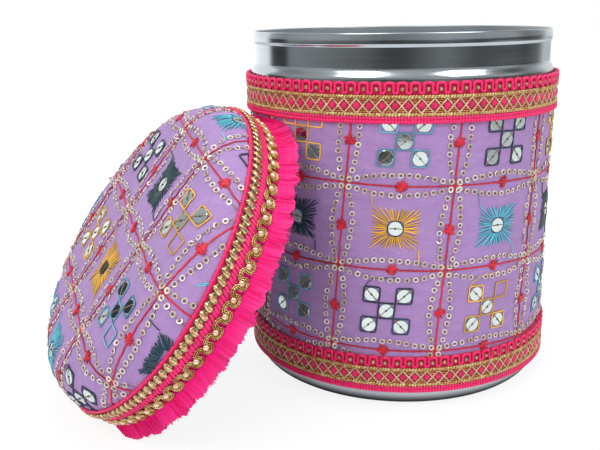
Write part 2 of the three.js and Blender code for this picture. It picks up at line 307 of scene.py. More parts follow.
# Radius at which the floor's reflection goes from a painted shadow, close to the base, to light
FLOOR_PAINTED_SHADOW_REACH = (0.0785, 0.0865)
SURROUND_RADIUS = 0.75
SURROUND_COLUMNS = 128
SURROUND_FOOT = ((-108, 0.8), (-98, 0.04), (55, 0.04), (68, 0.7))
SURROUND_LEVELS = (0.03, 0.095, 0.105, 0.195, 0.21, 0.5, 0.6, 1.6)
# Azimuth from the front in degrees, and how bright the surround is for the neck, for the hem and overhead
SURROUND = [
    (-170, 1.3, 1.2, 0.75), (-121, 1.3, 1.2, 0.75), (-117, 0.03, 0.5, 0.4), (-98, 0.03, 0.36, 0.32),
    (-93, 0.34, 0.45, 0.45), (-60, 0.24, 0.5, 0.5), (-30, 0.14, 0.32, 0.55), (-18, 0.055, 0.25, 0.6),
    (-4, 0.055, 0.28, 0.55), (24, 0.25, 0.53, 0.5), (46, 0.09, 0.45, 0.6), (80, 0.08, 0.5, 0.25),
    (92, 0.05, 0.24, 0.1), (112, 0.18, 0.42, 0.14), (120, 0.6, 0.66, 0.3), (126, 0.9, 0.9, 0.75),
]
# Azimuth and elevation of the panels, in degrees, and their size and brightness
PANELS = [(-42, 56), (50, 56)]
PANEL_SIZE = (0.38, 0.6)
PANEL_SHINE = 6


def srgb(red, green, blue):
    """A screen colour from 0 to 255 as linear values."""
    steps = [c / 255 for c in (red, green, blue)]
    return (*[s / 12.92 if s <= 0.04045 else ((s + 0.055) / 1.055) ** 2.4 for s in steps], 1)


def grey(level):
    return (level, level, level, 1)


LILAC = srgb(178, 140, 202)
# The paler lilac is painted on the rises of the cloth's creases, as a painted highlight.
LILAC_HIGHLIGHT = srgb(196, 164, 216)
BRIGHT_PINK = srgb(255, 30, 122)
THREADS = {
    "red": srgb(214, 22, 48),
    "gold": srgb(244, 188, 66),
    "turquoise": srgb(96, 196, 220),
    "light_blue": srgb(104, 176, 208),
    "navy": srgb(26, 56, 84),
    "teal": srgb(10, 66, 76),
    "zari": srgb(164, 132, 106),
}

# Colours of the motifs in the order in which they come round, and each row's motif and shift of that order
COLOURS = {"checker": ("gold", "light_blue", "navy"), "burst": ("turquoise", "teal", "gold")}
SLEEVE_ROWS = {-1: ("checker", -1), 0: ("burst", 0), 1: ("checker", 0)}
LID_ROWS = {
    -1: ("burst", -1), 0: ("checker", -1), 1: ("burst", 1),
    2: ("checker", 0), 3: ("burst", 0), 4: ("checker", -1),
}
# Squares that have lost their mirrors: column and row of the cell, then the square's corner of the cell
SLEEVE_BARE = {(0, 1): (1, -1)}
LID_BARE = {(0, 2): (1, 1), (1, 2): (1, 1)}


# Shapes

def unit(vectors):
    return vectors / np.linalg.norm(vectors, axis=-1, keepdims=True)


def lengths(path, closed=False):
    """The way along a path to each of its points, and round to the first again if it is closed."""
    route = np.concatenate([path, path[:1]]) if closed else path
    return np.concatenate([[0], np.cumsum(np.linalg.norm(np.diff(route, axis=0), axis=1))])


def from_frame(matrix, points):
    """Points of a piece's own frame, in the scene."""
    return points @ matrix[:3, :3].T + matrix[:3, 3]


def to_frame(matrix, points):
    return (points - matrix[:3, 3]) @ matrix[:3, :3]


def added(name, data):
    """A new object in the scene."""
    made = bpy.data.objects.new(name, data)
    bpy.context.scene.collection.objects.link(made)
    return made


def fan(ring, mapped, middle, order):
    """Faces from a middle point to the sides of a ring, and their map."""
    corners = [ring, np.roll(ring, -1)][::order]
    places = [mapped[:-1], mapped[1:]][::order]
    centre = np.broadcast_to(mapped[:-1].mean(0), places[0].shape)
    return np.stack([np.full(len(ring), middle), *corners], -1), np.stack([centre, *places], 1)


class Stock:
    """Collects the points of one piece, and its skins: faces on them, with the faces' map."""

    def __init__(self):
        self.points, self.skins, self.count = [], [], 0

    def add(self, points, *skins):
        self.skins += [(faces + self.count, mapped) for faces, mapped in skins]
        self.points.append(points)
        self.count += len(points)

    def sweep(self, rings, mapped, closed=False):
        """Skins rings of points. The map is given as places, or only as the way along."""
        count, sides = rings.shape[:2]
        here = np.arange(count * sides).reshape(count, sides)
        if np.ndim(mapped) == 1:
            mapped = np.stack(np.meshgrid(np.arange(sides + 1) / sides, mapped), -1)
        else:
            mapped = np.concatenate([mapped, mapped[:, :1]], 1)
        steps = count if closed else count - 1
        before, after = here[:steps], np.roll(here, -1, 0)[:steps]
        faces = np.stack([before, after, np.roll(after, -1, 1), np.roll(before, -1, 1)], -1)
        corners = np.stack([mapped[:-1, :-1], mapped[1:, :-1], mapped[1:, 1:], mapped[:-1, 1:]], 2)
        skins = [(faces.reshape(-1, 4), corners.reshape(-1, 4, 2))]
        points = rings.reshape(-1, 3)
        if not closed:
            skins.append(fan(here[0], mapped[0], len(points), 1))
            skins.append(fan(here[-1], mapped[-1], len(points) + 1, -1))
            points = np.concatenate([points, rings[[0, -1]].mean(1)])
        self.add(points, *skins)

    def copies(self, form, middles, axes):
        """Sets copies of a form, made by another stock, with each one's own middle and three axes."""
        points = np.concatenate(form.points)
        places = np.einsum("pk,nkc->npc", points, axes) + middles[:, None]
        shift = np.arange(len(middles))[:, None, None] * len(points)
        self.add(places.reshape(-1, 3), *[
            ((faces + shift).reshape(-1, faces.shape[1]), np.tile(mapped, (len(middles), 1, 1)))
            for faces, mapped in form.skins
        ])

    def piece(self, name, body, finish, replaces=(), slot=None, crease=50):
        """Makes the piece, which rides on a body and stands for the nodes that it replaces."""
        mesh = bpy.data.meshes.new(name)
        corners = np.concatenate([faces.ravel() for faces, _ in self.skins])
        sizes = np.concatenate([np.full(len(faces), faces.shape[1]) for faces, _ in self.skins])
        mapped = np.concatenate([mapped.ravel() for _, mapped in self.skins])
        mesh.vertices.add(self.count)
        mesh.vertices.foreach_set("co", np.concatenate(self.points).ravel())
        mesh.loops.add(len(corners))
        mesh.loops.foreach_set("vertex_index", corners)
        mesh.polygons.add(len(sizes))
        mesh.polygons.foreach_set("loop_start", np.cumsum(sizes) - sizes)
        mesh.polygons.foreach_set("use_smooth", np.ones(len(sizes), bool))
        mesh.uv_layers.new(name="Way").data.foreach_set("uv", mapped)
        mesh.update(calc_edges=True)
        mesh.set_sharp_from_angle(angle=math.radians(crease))
        mesh.materials.append(finish)
        made = added(name, mesh)
        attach(made, body)
        if replaces:
            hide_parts(*replaces)
        return made


class Grid:
    """The even grid of stitched lines on an embroidered cloth, and how they draw it in."""

    PINCH_WIDTH, PUCKER_PITCH, PUCKER_REACH = 2.2 * MM, 6.5 * MM, 6 * MM
    SWAY, SWAY_LENGTH = 3, 2.3

    def __init__(self, origin, column, row, pinch, pucker, wrinkle, waves):
        self.origin, self.steps = np.array(origin), np.array([column, row])
        self.pinch, self.pucker, self.wrinkle, self.waves = pinch, pucker, wrinkle, waves

    def at(self, i, j):
        return self.origin + i * self.steps[0] + j * self.steps[1]

    def ripple(self, x, y):
        """How the lines, small folds that run out from them and faint creases raise places on the cloth."""
        cell = np.stack([x - self.origin[0], y - self.origin[1]], -1) @ np.linalg.inv(self.steps)
        sizes = np.linalg.norm(self.steps, axis=1)
        off = np.abs(cell - np.round(cell)) * sizes
        along = cell[..., ::-1] * sizes[::-1] / self.PUCKER_PITCH
        folds = np.sin(TURN * along + self.SWAY * np.sin(along / self.SWAY_LENGTH))
        drawn = self.pucker * np.exp(-((off / self.PUCKER_REACH) ** 2)) * folds
        drawn = drawn - self.pinch * np.exp(-((off / self.PINCH_WIDTH) ** 2))
        creases = sum(np.sin(a * x + b * y + c) for a, b, c in self.waves) / len(self.waves)
        return drawn.sum(-1) + self.wrinkle * creases


class Wall:
    """A round wall. A place on it is the way round from the front and a level. A grid draws it in."""

    def __init__(self, radius, matrix, grid=None):
        self.radius, self.matrix, self.grid = radius, matrix, grid

    def at(self, x, y, height):
        angle = np.asarray(x / self.radius)
        reach = self.radius + height + (self.grid.ripple(x, y) if self.grid else 0)
        local = np.stack([reach * np.sin(angle), -reach * np.cos(angle), y + 0 * reach], -1)
        return from_frame(self.matrix, local)

    def up(self, x, y):
        angle = np.asarray(x / self.radius)
        return np.stack([np.sin(angle), -np.cos(angle), 0 * angle], -1) @ self.matrix[:3, :3].T

    def round(self):
        return TURN * self.radius


class Dome:
    """The padded top of the lid. A place on it is where the cloth lay flat, from the middle of the crown."""

    ANGLES, STEPS, REACH, ARC_STEPS = 180, 480, 0.13, 160
    BELOW_EDGE, NORMAL_STEP = 5 * MM, 0.8 * MM
    GATHER, GATHER_REACH, GATHER_FOOT = 0.3 * MM, 7 * MM, 2.5 * MM
    GATHER_FOLDS = ((41, 0), (67, 1.3))

    def __init__(self, radius, height, edge, matrix, grid):
        self.radius, self.height, self.edge, self.matrix, self.grid = radius, height, edge, matrix, grid
        profiles = [self.profile(TURN * k / self.ANGLES) for k in range(self.ANGLES)]
        way = np.linspace(0, self.REACH, self.STEPS)
        self.table = np.array([[np.interp(way, p[2], p[k]) for k in (0, 1)] for p in profiles])
        self.rim = np.array([np.interp(0, -p[1], p[2]) for p in profiles])

    def profile(self, angle):
        """Radius, level and way along the cloth, from the middle of the crown to below the lid's edge."""
        swing = np.linspace(math.pi / 2, 0, self.ARC_STEPS)
        radius = self.radius * np.maximum(np.cos(swing), 0) ** (2 / DOME_SHOULDER)
        radius[0] = 0
        lean = SETTLED_BACK * np.sin(angle) - SETTLED_DOWN * np.cos(angle)
        settled = 1 + lean * radius / self.radius
        level = self.height * np.sin(swing) ** (2 / DOME_CROWN) * settled
        radius = np.append(radius, self.radius)
        level = np.append(level, self.edge - self.BELOW_EDGE)
        return radius, level, lengths(np.stack([radius, level], -1))

    def smooth(self, x, y):
        """Places on the dome without its creases, in the lid's own frame, from a table of profiles."""
        angle = np.arctan2(y, x) % TURN
        step = np.minimum(np.hypot(x, y) / self.REACH, 0.999) * (self.STEPS - 1)
        turn = angle / TURN * self.ANGLES
        a, k = turn.astype(int), step.astype(int)
        part_turn, part_step = (turn - a)[..., None], (step - k)[..., None]
        sides = [
            self.table[side % self.ANGLES, :, k] * (1 - part_step)
            + self.table[side % self.ANGLES, :, k + 1] * part_step
            for side in (a, a + 1)
        ]
        both = sides[0] * (1 - part_turn) + sides[1] * part_turn
        return np.stack([both[..., 0] * np.cos(angle), both[..., 0] * np.sin(angle), both[..., 1]], -1)

    def normal(self, x, y):
        reach = self.NORMAL_STEP
        across = self.smooth(x + reach, y) - self.smooth(x - reach, y)
        along = self.smooth(x, y + reach) - self.smooth(x, y - reach)
        return unit(np.cross(across, along))

    def gathers(self, x, y):
        """Small folds where the cloth is drawn in at the dome's foot."""
        angle = np.arctan2(y, x)
        room = np.maximum(self.foot(angle) - np.hypot(x, y), 0)
        near = np.exp(-room / self.GATHER_REACH) * np.minimum(room / self.GATHER_FOOT, 1)
        return self.GATHER * near * sum(np.sin(count * angle + shift) for count, shift in self.GATHER_FOLDS)

    def at(self, x, y, height):
        x, y = np.asarray(x, float), np.asarray(y, float)
        lifted = np.asarray(height + self.grid.ripple(x, y) + self.gathers(x, y))[..., None]
        return from_frame(self.matrix, self.smooth(x, y) + self.normal(x, y) * lifted)

    def up(self, x, y):
        return self.normal(np.asarray(x, float), np.asarray(y, float)) @ self.matrix[:3, :3].T

    def foot(self, angle):
        """The way from the middle of the crown to the dome's foot."""
        turn = angle % TURN / TURN * self.ANGLES
        return np.interp(turn, np.arange(self.ANGLES + 1), np.append(self.rim, self.rim[0]))

    def inside(self, x, y, margin):
        return np.hypot(x, y) < self.foot(np.arctan2(y, x)) - margin


def lay(stock, ground, path, cord, closed=False):
    """Lays a cord along a path on a ground."""
    path = np.asarray(path, float)
    x, y = path.T
    wide, high, lift = [np.broadcast_to(size, len(path)) * MM for size in cord[:3]]
    middles = ground.at(x, y, lift)
    if closed:
        ahead = unit(np.roll(middles, -1, 0) - np.roll(middles, 1, 0))
    else:
        ahead = unit(np.gradient(middles, axis=0))
    side = unit(np.cross(ahead, ground.up(x, y)))
    up = np.cross(side, ahead)
    spans = lengths(middles, closed)
    twist = cord.twist * MM
    if closed and cord.lobes:
        twist = spans[-1] / round(spans[-1] / twist)
    around = np.arange(cord.sides) * TURN / cord.sides - TURN / 4
    wind = cord.lobes * around - TURN * spans[: len(path), None] / twist
    reach = 1 + cord.depth * (2 * np.abs(np.cos(wind / 2)) - 1 if cord.sharp else np.cos(wind))
    out = (wide[:, None] * np.cos(around) * reach)[..., None] * side[:, None]
    out = out + (high[:, None] * np.sin(around) * reach)[..., None] * up[:, None]
    stock.sweep(middles[:, None] + out, spans, closed)


def turned(stock, outline, segments, matrix=np.eye(4)):
    """Turns an outline that starts and ends on the axis, with its material on the left."""
    path = np.asarray(outline, float)[-2:0:-1]
    angle = np.arange(segments) * TURN / segments
    radius, level = path.T[..., None]
    rings = np.stack([radius * np.sin(angle), -radius * np.cos(angle), level + 0 * angle], -1)
    stock.sweep(from_frame(matrix, rings), lengths(path[::-1])[::-1])


def arc(centre, radius, start, end, steps):
    swing = np.linspace(start, end, steps + 1)
    return [(centre[0] + radius * math.cos(a), centre[1] + radius * math.sin(a)) for a in swing]


def rounded(corners, radii, steps):
    """An open path with its inner corners rounded."""
    corners = np.asarray(corners, float)
    path = [corners[0]]
    for before, here, after, radius in zip(corners, corners[1:], corners[2:], radii):
        to, away = unit(before - here), unit(after - here)
        for share in np.linspace(0, 1, steps + 1):
            path.append(here + radius * ((1 - share) ** 2 * to + share ** 2 * away))
    return np.array([*path, corners[-1]])


def finely(path, step):
    """A path with evenly spaced points."""
    spans = lengths(path)
    way = np.linspace(0, spans[-1], max(2, round(spans[-1] / step)))
    return np.stack([np.interp(way, spans, path[:, k]) for k in (0, 1)], -1)


def around(ground, pitch):
    """A pitch close to the given one that goes evenly round a wall, and how often it does."""
    count = round(ground.round() / pitch)
    return ground.round() / count, count


def repeated(path, pitch, count):
    """A path over one pitch, repeated round a wall."""
    shifts = np.arange(count)[:, None] * np.array([pitch, 0])
    return (np.asarray(path)[None] + shifts[:, None]).reshape(-1, 2)


def hoop(ground, level, step):
    """A level path round a wall."""
    x = np.arange(0, ground.round() - step / 2, step)
    return np.stack([x, np.full(len(x), level)], -1)


def band(stock, ground, low, high, thickness, cells):
    """A strip of cloth round a wall, butted at the back. Its outer face is the ground."""
    half = (ground.round() - SEAM_GAP) / 2
    x = np.linspace(-half, half, cells[0] + 1)
    y = np.linspace(low, high, cells[1] + 1)
    outer = ground.at(*np.meshgrid(x, y, indexing="ij"), 0)
    back = Wall(ground.radius - thickness, ground.matrix)
    inner = back.at(*np.meshgrid(x * back.radius / ground.radius, [high, low], indexing="ij"), 0)
    flat = np.stack(np.meshgrid(x, np.append(y, [high, low]), indexing="ij"), -1)
    stock.sweep(np.concatenate([outer, inner], 1), flat)


def sequin_form(segments=12):
    """A flat ring with a dished face."""
    form = Stock()
    section = [
        (SEQUIN, 0), (SEQUIN - SEQUIN_BEVEL, SEQUIN_THICK),
        (SEQUIN_HOLE, SEQUIN_DISH * SEQUIN_THICK), (SEQUIN_HOLE + SEQUIN_HOLE_BEVEL, 0),
    ]
    angle = np.arange(segments) * TURN / segments
    rings = [[(r * math.cos(a), r * math.sin(a), h) for r, h in section] for a in angle]
    form.sweep(np.array(rings), np.arange(segments + 1) / segments, True)
    return form


def mirror_form(segments=28):
    """A round mirror with a ground edge."""
    form = Stock()
    edge = [(MIRROR, MIRROR_THICK - MIRROR_BEVEL / 2), (MIRROR - MIRROR_BEVEL, MIRROR_THICK)]
    turned(form, [(0, 0), (MIRROR, 0), *edge, (0, MIRROR_THICK)], segments)
    return form


def power(wave, exponent):
    return np.sign(wave) * np.abs(wave) ** exponent


def bead_form(plan, section, rows, segments):
    """A bead of unit size. Powers under one make its plan or section squarer, and over one pointed."""
    form = Stock()
    swing = np.linspace(math.pi / 2, -math.pi / 2, rows + 2)[1:-1]
    angle = np.arange(segments) * TURN / segments
    across, along = power(np.cos(angle), plan), power(np.sin(angle), plan)
    reach, level = np.cos(swing) ** section, power(np.sin(swing), section)
    rings = [np.stack([across * r, along * r, np.full(segments, z)], -1) for r, z in zip(reach, level)]
    form.sweep(np.array(rings), np.linspace(0, 1, rows))
    return form


def stand(stock, ground, form, places, lift, sizes=(1, 1, 1), tilt=0.0):
    """Stands copies of a form on a ground, each a little tilted."""
    x, y = np.asarray(places, float).T
    step = 0.3 * MM
    ahead = ground.at(x + step, y, 0) - ground.at(x - step, y, 0)
    up = unit(ground.up(x, y) + chance.normal(0, tilt, (len(x), 3)))
    ahead = unit(ahead - up * (ahead * up).sum(-1, keepdims=True))
    axes = np.stack([ahead * sizes[0], np.cross(up, ahead) * sizes[1], up * sizes[2]], 1)
    stock.copies(form, ground.at(x, y, lift), axes)


# Finishes

class Value:
    """What one output of a shader's nodes gives, and what can be made of it."""

    def __init__(self, finish, socket):
        self.finish, self.socket = finish, socket

    def math(self, operation, other=0.0):
        return self.finish.node("Math", {0: self, 1: other}, operation=operation)

    def __add__(self, other):
        return self.math("ADD", other)

    def __sub__(self, other):
        return self.math("SUBTRACT", other)

    def __mul__(self, other):
        return self.math("MULTIPLY", other)

    def parts(self):
        split = self.finish.node("SeparateXYZ", {0: self}).socket.node
        return [Value(self.finish, output) for output in split.outputs]

    def scaled(self, *scale):
        return self.finish.node("Mapping", {"Vector": self, "Scale": scale})

    def noise(self, scale, detail=3.0):
        return self.finish.node("TexNoise", {"Vector": self, "Scale": scale, "Detail": detail})

    def cells(self, scale, output):
        return self.finish.node("TexVoronoi", {"Vector": self, "Scale": scale}, output)

    def spread(self, low, high, start=0.0, end=1.0):
        keys = {"Value": self, "From Min": start, "From Max": end, "To Min": low, "To Max": high}
        return self.finish.node("MapRange", keys)

    def waves(self, pitch):
        return (self * (TURN / pitch)).math("SINE")

    def blend(self, first, second):
        return self.finish.node("Mix", {0: self, 6: first, 7: second}, 2, data_type="RGBA")

    def shade(self, colour):
        """A colour made darker or lighter by this value."""
        return self.finish.node("HueSaturation", {"Color": colour, "Value": self})

    def bump(self, depth, strength=1.0, **below):
        return self.finish.node("Bump", {"Height": self, "Distance": depth, "Strength": strength, **below})


class Finish:
    """A material, or the world, and the nodes that vary its shader."""

    def __init__(self, name, kind=bpy.data.materials, shader="Principled BSDF", **values):
        self.made = kind.new(name)
        self.made.use_nodes = True
        self.tree = self.made.node_tree
        self.shader = self.tree.nodes[shader]
        for socket, value in values.items():
            self.shader.inputs[socket.replace("_", " ")].default_value = value

    def node(self, kind, inputs, output=0, **settings):
        made = self.tree.nodes.new("ShaderNode" + kind)
        for key, value in settings.items():
            setattr(made, key, value)
        for key, value in inputs.items():
            if isinstance(value, Value):
                self.tree.links.new(value.socket, made.inputs[key])
            else:
                made.inputs[key].default_value = value
        return Value(self, made.outputs[output])

    def driven(self, **values):
        """The material or world, with sockets of its shader driven by values."""
        for socket, value in values.items():
            self.tree.links.new(value.socket, self.shader.inputs[socket.replace("_", " ")])
        return self.made

    def place(self, kind="Object"):
        return self.node("TexCoord", {}, kind)

    def island(self):
        return self.node("NewGeometry", {}, "Random Per Island")

    def ray(self, kind):
        return self.node("LightPath", {}, f"Is {kind} Ray")

    def way(self):
        """The way round and the way along a cord."""
        return self.place("UV").parts()[:2]

    def winding(self, pitch, turns=1):
        """Lines that wind round a cord, from 0 to 1."""
        around, along = self.way()
        wind = along * (TURN / pitch) + around * (TURN * turns)
        return wind.math("SINE").spread(0, 1, -1, 1)


def steel_finish(name, inside):
    """Turned steel, polished up to a length along its outline and satin from there on, with painted shade
    inside.
    """
    finish = Finish(name, Anisotropic=0.35)
    place = finish.place()
    _, along = finish.way()
    satin_and_shade = along.spread(0, 1, inside - MM, inside)
    rings = place.scaled(8, 8, 1400).noise(1.0, 4)
    smears = place.noise(28, 4)
    tone = smears.blend(srgb(170, 180, 187), srgb(200, 208, 213))
    # Past the polished length the base colour is painted darker: painted shade inside the pot.
    return finish.driven(
        Base_Color=(rings.spread(0.88, 1.12) * satin_and_shade.spread(1, 0.76)).shade(tone),
        Metallic=satin_and_shade.spread(1, 0.7),
        Roughness=rings.spread(0.07, 0.15) + smears.spread(0, 0.09) + satin_and_shade.spread(0, 0.25),
        Normal=rings.bump(0.02 * MM, 0.35),
    )


def cloth_finish():
    finish = Finish("lilac_cotton", Sheen_Weight=0.18, Sheen_Roughness=0.4)
    flat = finish.place("UV")
    x, y, _ = flat.parts()
    weave = x.waves(YARN) * y.waves(YARN)
    slubs = flat.scaled(60, 1500, 1).noise(1.0, 2)
    clouds = flat.noise(42, 3)
    puckers_and_shade = flat.noise(260, 2)
    creases = flat.scaled(70, 260, 1).noise(1.0, 3)
    # Painted light and shade on the folds: lighter where the puckers, and a little the weave, rise, darker
    # where they sink, and paler on the rises of the creases. The clouds and slubs are the cloth's own tone.
    value = clouds.spread(0.9, 1.08) + slubs.spread(-0.05, 0.05) + weave * 0.03 + puckers_and_shade.spread(-0.07, 0.07)
    coarse = creases.bump(0.8 * MM, 0.75)
    middling = puckers_and_shade.bump(0.5 * MM, 0.65, Normal=coarse)
    return finish.driven(
        Base_Color=value.shade(creases.spread(0, 0.35, 0.45, 0.8).blend(LILAC, LILAC_HIGHLIGHT)),
        Roughness=clouds.spread(0.62, 0.8),
        Normal=weave.bump(0.08 * MM, 0.5, Normal=middling),
    )


def foam_finish():
    finish = Finish("foam", Roughness=0.95)
    cells = finish.place().cells(900.0, "Distance")
    colour = cells.blend(srgb(246, 240, 222), srgb(226, 214, 186))
    return finish.driven(Base_Color=colour, Normal=cells.bump(0.4 * MM, 0.8))


def yarn_finish(name, colour, pitch, dark=0.9, light=1.2, rough=0.5, groove=0.16, crown=0.0):
    """Twisted thread or covered cord, painted darker in its grooves. A crown is a painted highlight on top
    and painted shade at its sides.
    """
    finish = Finish(name, Sheen_Weight=0.1, Sheen_Roughness=0.35)
    lay_lines = finish.winding(pitch)
    patches = finish.place().noise(160, 2)
    # The grooves of the lay lines are painted darker: painted shade.
    value = finish.island().spread(dark, light) + patches.spread(-0.1, 0.1) + lay_lines.spread(-groove, 0.04)
    if crown:
        # Painted highlight on the thread's top and painted shade at its sides.
        below = (finish.way()[0] * TURN).math("COSINE")
        value = value + below.spread(0.5 * crown, -crown, -1, 0)
    return finish.driven(
        Base_Color=value.shade(colour),
        Roughness=patches.spread(rough - 0.08, rough + 0.08),
        Normal=lay_lines.bump(0.12 * MM, 0.7),
    )


def tape_finish(name, colour, other):
    """Woven tape, whose map is the flat tape in metres."""
    finish = Finish(name, Sheen_Weight=0.3)
    x, y, _ = finish.place("UV").parts()
    weave = (x.waves(0.7 * MM) * y.waves(0.55 * MM)).spread(0, 1, -1, 1)
    patches = finish.place().noise(220, 3)
    return finish.driven(
        Base_Color=(weave * patches).blend(colour, other),
        Roughness=patches.spread(0.55, 0.75),
        Normal=weave.bump(0.15 * MM, 0.7),
    )


def metal_thread_finish(
    name, dark, light, pitch, turns=1, grain=1100.0, metallic=0.3, rough=0.34, groove=0.14, furrow_shade=None,
):
    """Metal-wrapped thread: its turns glint one by one, with painted glints cell by cell and painted shade
    in its grooves. A rope's furrow shade has a pitch, lobes and a shade.
    """
    finish = Finish(name, Metallic=metallic)
    wraps = finish.winding(pitch, turns)
    # Each cell's colour runs from the dark to the light tone, as painted glints and shade; its roughness
    # varies too.
    glint = finish.place().cells(grain, "Color").parts()[0]
    value = finish.island().spread(0.86, 1.08) + wraps.spread(-groove, 0.08)
    if furrow_shade:
        length, lobes, shade = furrow_shade
        around, along = finish.way()
        # Painted shade in the furrows between a rope's lobes.
        phase = (around - 0.25) * (TURN * lobes) - along * (TURN / length)
        value = value * phase.math("COSINE").spread(shade, 1, -0.95, 0)
    return finish.driven(
        Base_Color=value.shade(glint.blend(dark, light)),
        Roughness=glint.spread(rough + 0.16, rough - 0.1),
        Normal=wraps.bump(0.14 * MM, 0.8),
    )


def fringe_finish():
    finish = Finish("pink_brush_fringe", Specular_IOR_Level=0.25, Roughness=0.6)
    flat = finish.place("UV")
    _, along, _ = flat.parts()
    tips = along.spread(0, 0.45, 0.5 * FRINGE_DROP, 1.3 * FRINGE_DROP)
    clumps = flat.scaled(420, 30, 1).noise(1.0, 1)
    streaks = flat.scaled(2200, 60, 1).noise(1.0, 2)
    value = finish.island().spread(0.84, 1.1) + clumps.spread(-0.18, 0.14) + streaks.spread(-0.18, 0.14)
    colour = tips.blend(srgb(255, 16, 132), srgb(255, 80, 168))
    return finish.driven(Base_Color=value.shade(colour), Normal=streaks.bump(0.2 * MM, 0.5))


def sequin_finish():
    finish = Finish("sequins", Coat_Weight=0.4, Metallic=0.2)
    lot = finish.island()
    colour = lot.blend(srgb(204, 180, 160), srgb(248, 240, 230))
    grain = finish.place().noise(900, 2).spread(0.88, 1.1)
    return finish.driven(Base_Color=grain.shade(colour), Roughness=lot.spread(0.18, 0.4))


def mirror_finish():
    finish = Finish("mirrors", Metallic=1.0)
    specks = finish.place().noise(420, 3)
    return finish.driven(
        Base_Color=specks.blend(srgb(196, 210, 208), srgb(218, 230, 228)),
        Roughness=specks.spread(0.03, 0.12),
        Normal=specks.bump(0.04 * MM, 0.25),
    )


def bead_finish():
    finish = Finish("rose_gold_beads", Metallic=0.55, Coat_Weight=0.5)
    wear = finish.place().noise(700, 3)
    colour = finish.island().blend(srgb(236, 206, 168), srgb(250, 230, 196))
    return finish.driven(Base_Color=wear.spread(0.86, 1.1).shade(colour), Roughness=wear.spread(0.2, 0.38))


lilac = cloth_finish()
foam = foam_finish()
pink_cord = yarn_finish("pink_cord", srgb(255, 24, 112), 0.9 * MM)
pink_stitch = yarn_finish("pink_stitches", BRIGHT_PINK, 0.8 * MM, 0.95, 1.2)
pink_tape = tape_finish("pink_tape", BRIGHT_PINK, srgb(228, 16, 98))
crimson_tape = tape_finish("crimson_tape", srgb(214, 16, 68), srgb(186, 30, 48))
lozenge_silk = yarn_finish("lozenge_silk", srgb(240, 24, 100), 0.6 * MM)
gold_braid = metal_thread_finish(
    "gold_braid", srgb(194, 130, 56), srgb(255, 232, 166), 1.1 * MM, 1, 500.0, 0.66, 0.24, 0.44)
gold_wire = metal_thread_finish("gold_wire", srgb(214, 170, 126), srgb(255, 236, 200), 0.6 * MM)
dull_gold = metal_thread_finish("dull_gold", srgb(160, 116, 74), srgb(242, 210, 164), 0.6 * MM, 1, 1600.0)
old_gold = metal_thread_finish("old_gold_wire", srgb(186, 108, 52), srgb(250, 206, 130), 0.6 * MM, 1, 1800.0)
# Dark brown finish of the cores under the chain and the wave: painted shade.
painted_shade_core = metal_thread_finish("painted_shade_core", srgb(84, 50, 22), srgb(132, 88, 40), 0.6 * MM)
tie_thread = yarn_finish("tie_thread", srgb(40, 40, 34), 0.5 * MM, 0.6, 1.2)
rose_bead = bead_finish()
fringe_silk = fringe_finish()
sequin_foil = sequin_finish()
knot_thread = yarn_finish("knot_thread", srgb(112, 96, 106), 0.4 * MM, 0.6, 1.2)
mirror_glass = mirror_finish()
# Every embroidery thread has a crown: painted highlight on top and painted shade at its sides.
thread_silk = {
    name: yarn_finish(f"{name}_thread", colour, 0.7 * MM, 0.6, 1.35, 0.36, crown=0.4)
    for name, colour in THREADS.items()
}


# Where things are, from the solids

def solid_points(node, matrix):
    """A solid's points about an axis."""
    return to_frame(matrix, np.array([vertex.co for vertex in frame["nodes"][node].data.vertices]))


def span(node, matrix):
    """Least and greatest radius, lowest and highest level of a solid about an axis."""
    local = solid_points(node, matrix)
    radius = np.hypot(local[:, 0], local[:, 1])
    return radius.min(), radius.max(), local[:, 2].min(), local[:, 2].max()


def lid_frame():
    """The lid's own frame: its axis out of the dome, and its middle on the dome's foot."""
    axis = unit(np.array(frame["joints"][0]["axis"]))
    up = unit(np.array([0, 0, 1]) - axis[2] * axis)
    matrix = np.eye(4)
    matrix[:3, :3] = np.stack([up, np.cross(axis, up), axis], -1)
    pan = solid_points("lid_pan", matrix)
    middle = (pan.min(0) + pan.max(0)) / 2
    middle[2] = solid_points("lid_pad", matrix)[:, 2].min()
    matrix[:3, 3] = matrix[:3, :3] @ middle
    return matrix


STAND = np.eye(4)
LID = lid_frame()
_, pot_radius, _, rim_top = span("canister_pot", STAND)
_, sleeve_out, sleeve_low, sleeve_high = span("sleeve_cloth", STAND)
tape_in, tape_out, _, _ = span("lower_lace_tape", STAND)
lace_in, lace_out, _, lower_lace_top = span("lower_looped_gimp", STAND)
lace_foot = {place: span(f"{place}_lace_tape", STAND)[2] for place in ("lower", "upper")}
_, lid_radius, lid_edge, plate_top = span("lid_pan", LID)
_, cover_out, _, _ = span("lid_cover", LID)
lid_tape_in, lid_tape_out, lid_tape_low, lid_tape_high = span("lid_tape", LID)
braid_in, _, _, _ = span("lid_chain_braid", LID)
cover_points = solid_points("lid_cover", LID)
crown = cover_points[np.hypot(cover_points[:, 0], cover_points[:, 1]) < MM][:, 2].max()

sleeve_grid = Grid(
    *[(turn * sleeve_out, rise) for turn, rise in (SLEEVE_FIRST, SLEEVE_COLUMN, SLEEVE_ROW)],
    pinch=0.28 * MM, pucker=0.14 * MM, wrinkle=0.22 * MM,
    waves=[(90, 700, 0.4), (-160, 520, 2.1), (60, 950, 4.0), (240, 400, 1.2), (-330, 830, 5.2)],
)
lid_grid = Grid(
    LID_FIRST, LID_COLUMN, LID_ROW, pinch=0.3 * MM, pucker=0.15 * MM, wrinkle=0.26 * MM,
    waves=[(300, 420, 0.9), (-520, 260, 2.6), (150, -640, 3.9), (610, 330, 5.0)],
)
sleeve_ground = Wall(sleeve_out, STAND, sleeve_grid)
dome_ground = Dome(cover_out, crown, lid_edge, LID, lid_grid)
lace_ground = Wall(lace_in, STAND)
braid_ground = Wall(braid_in, LID)


# Steel

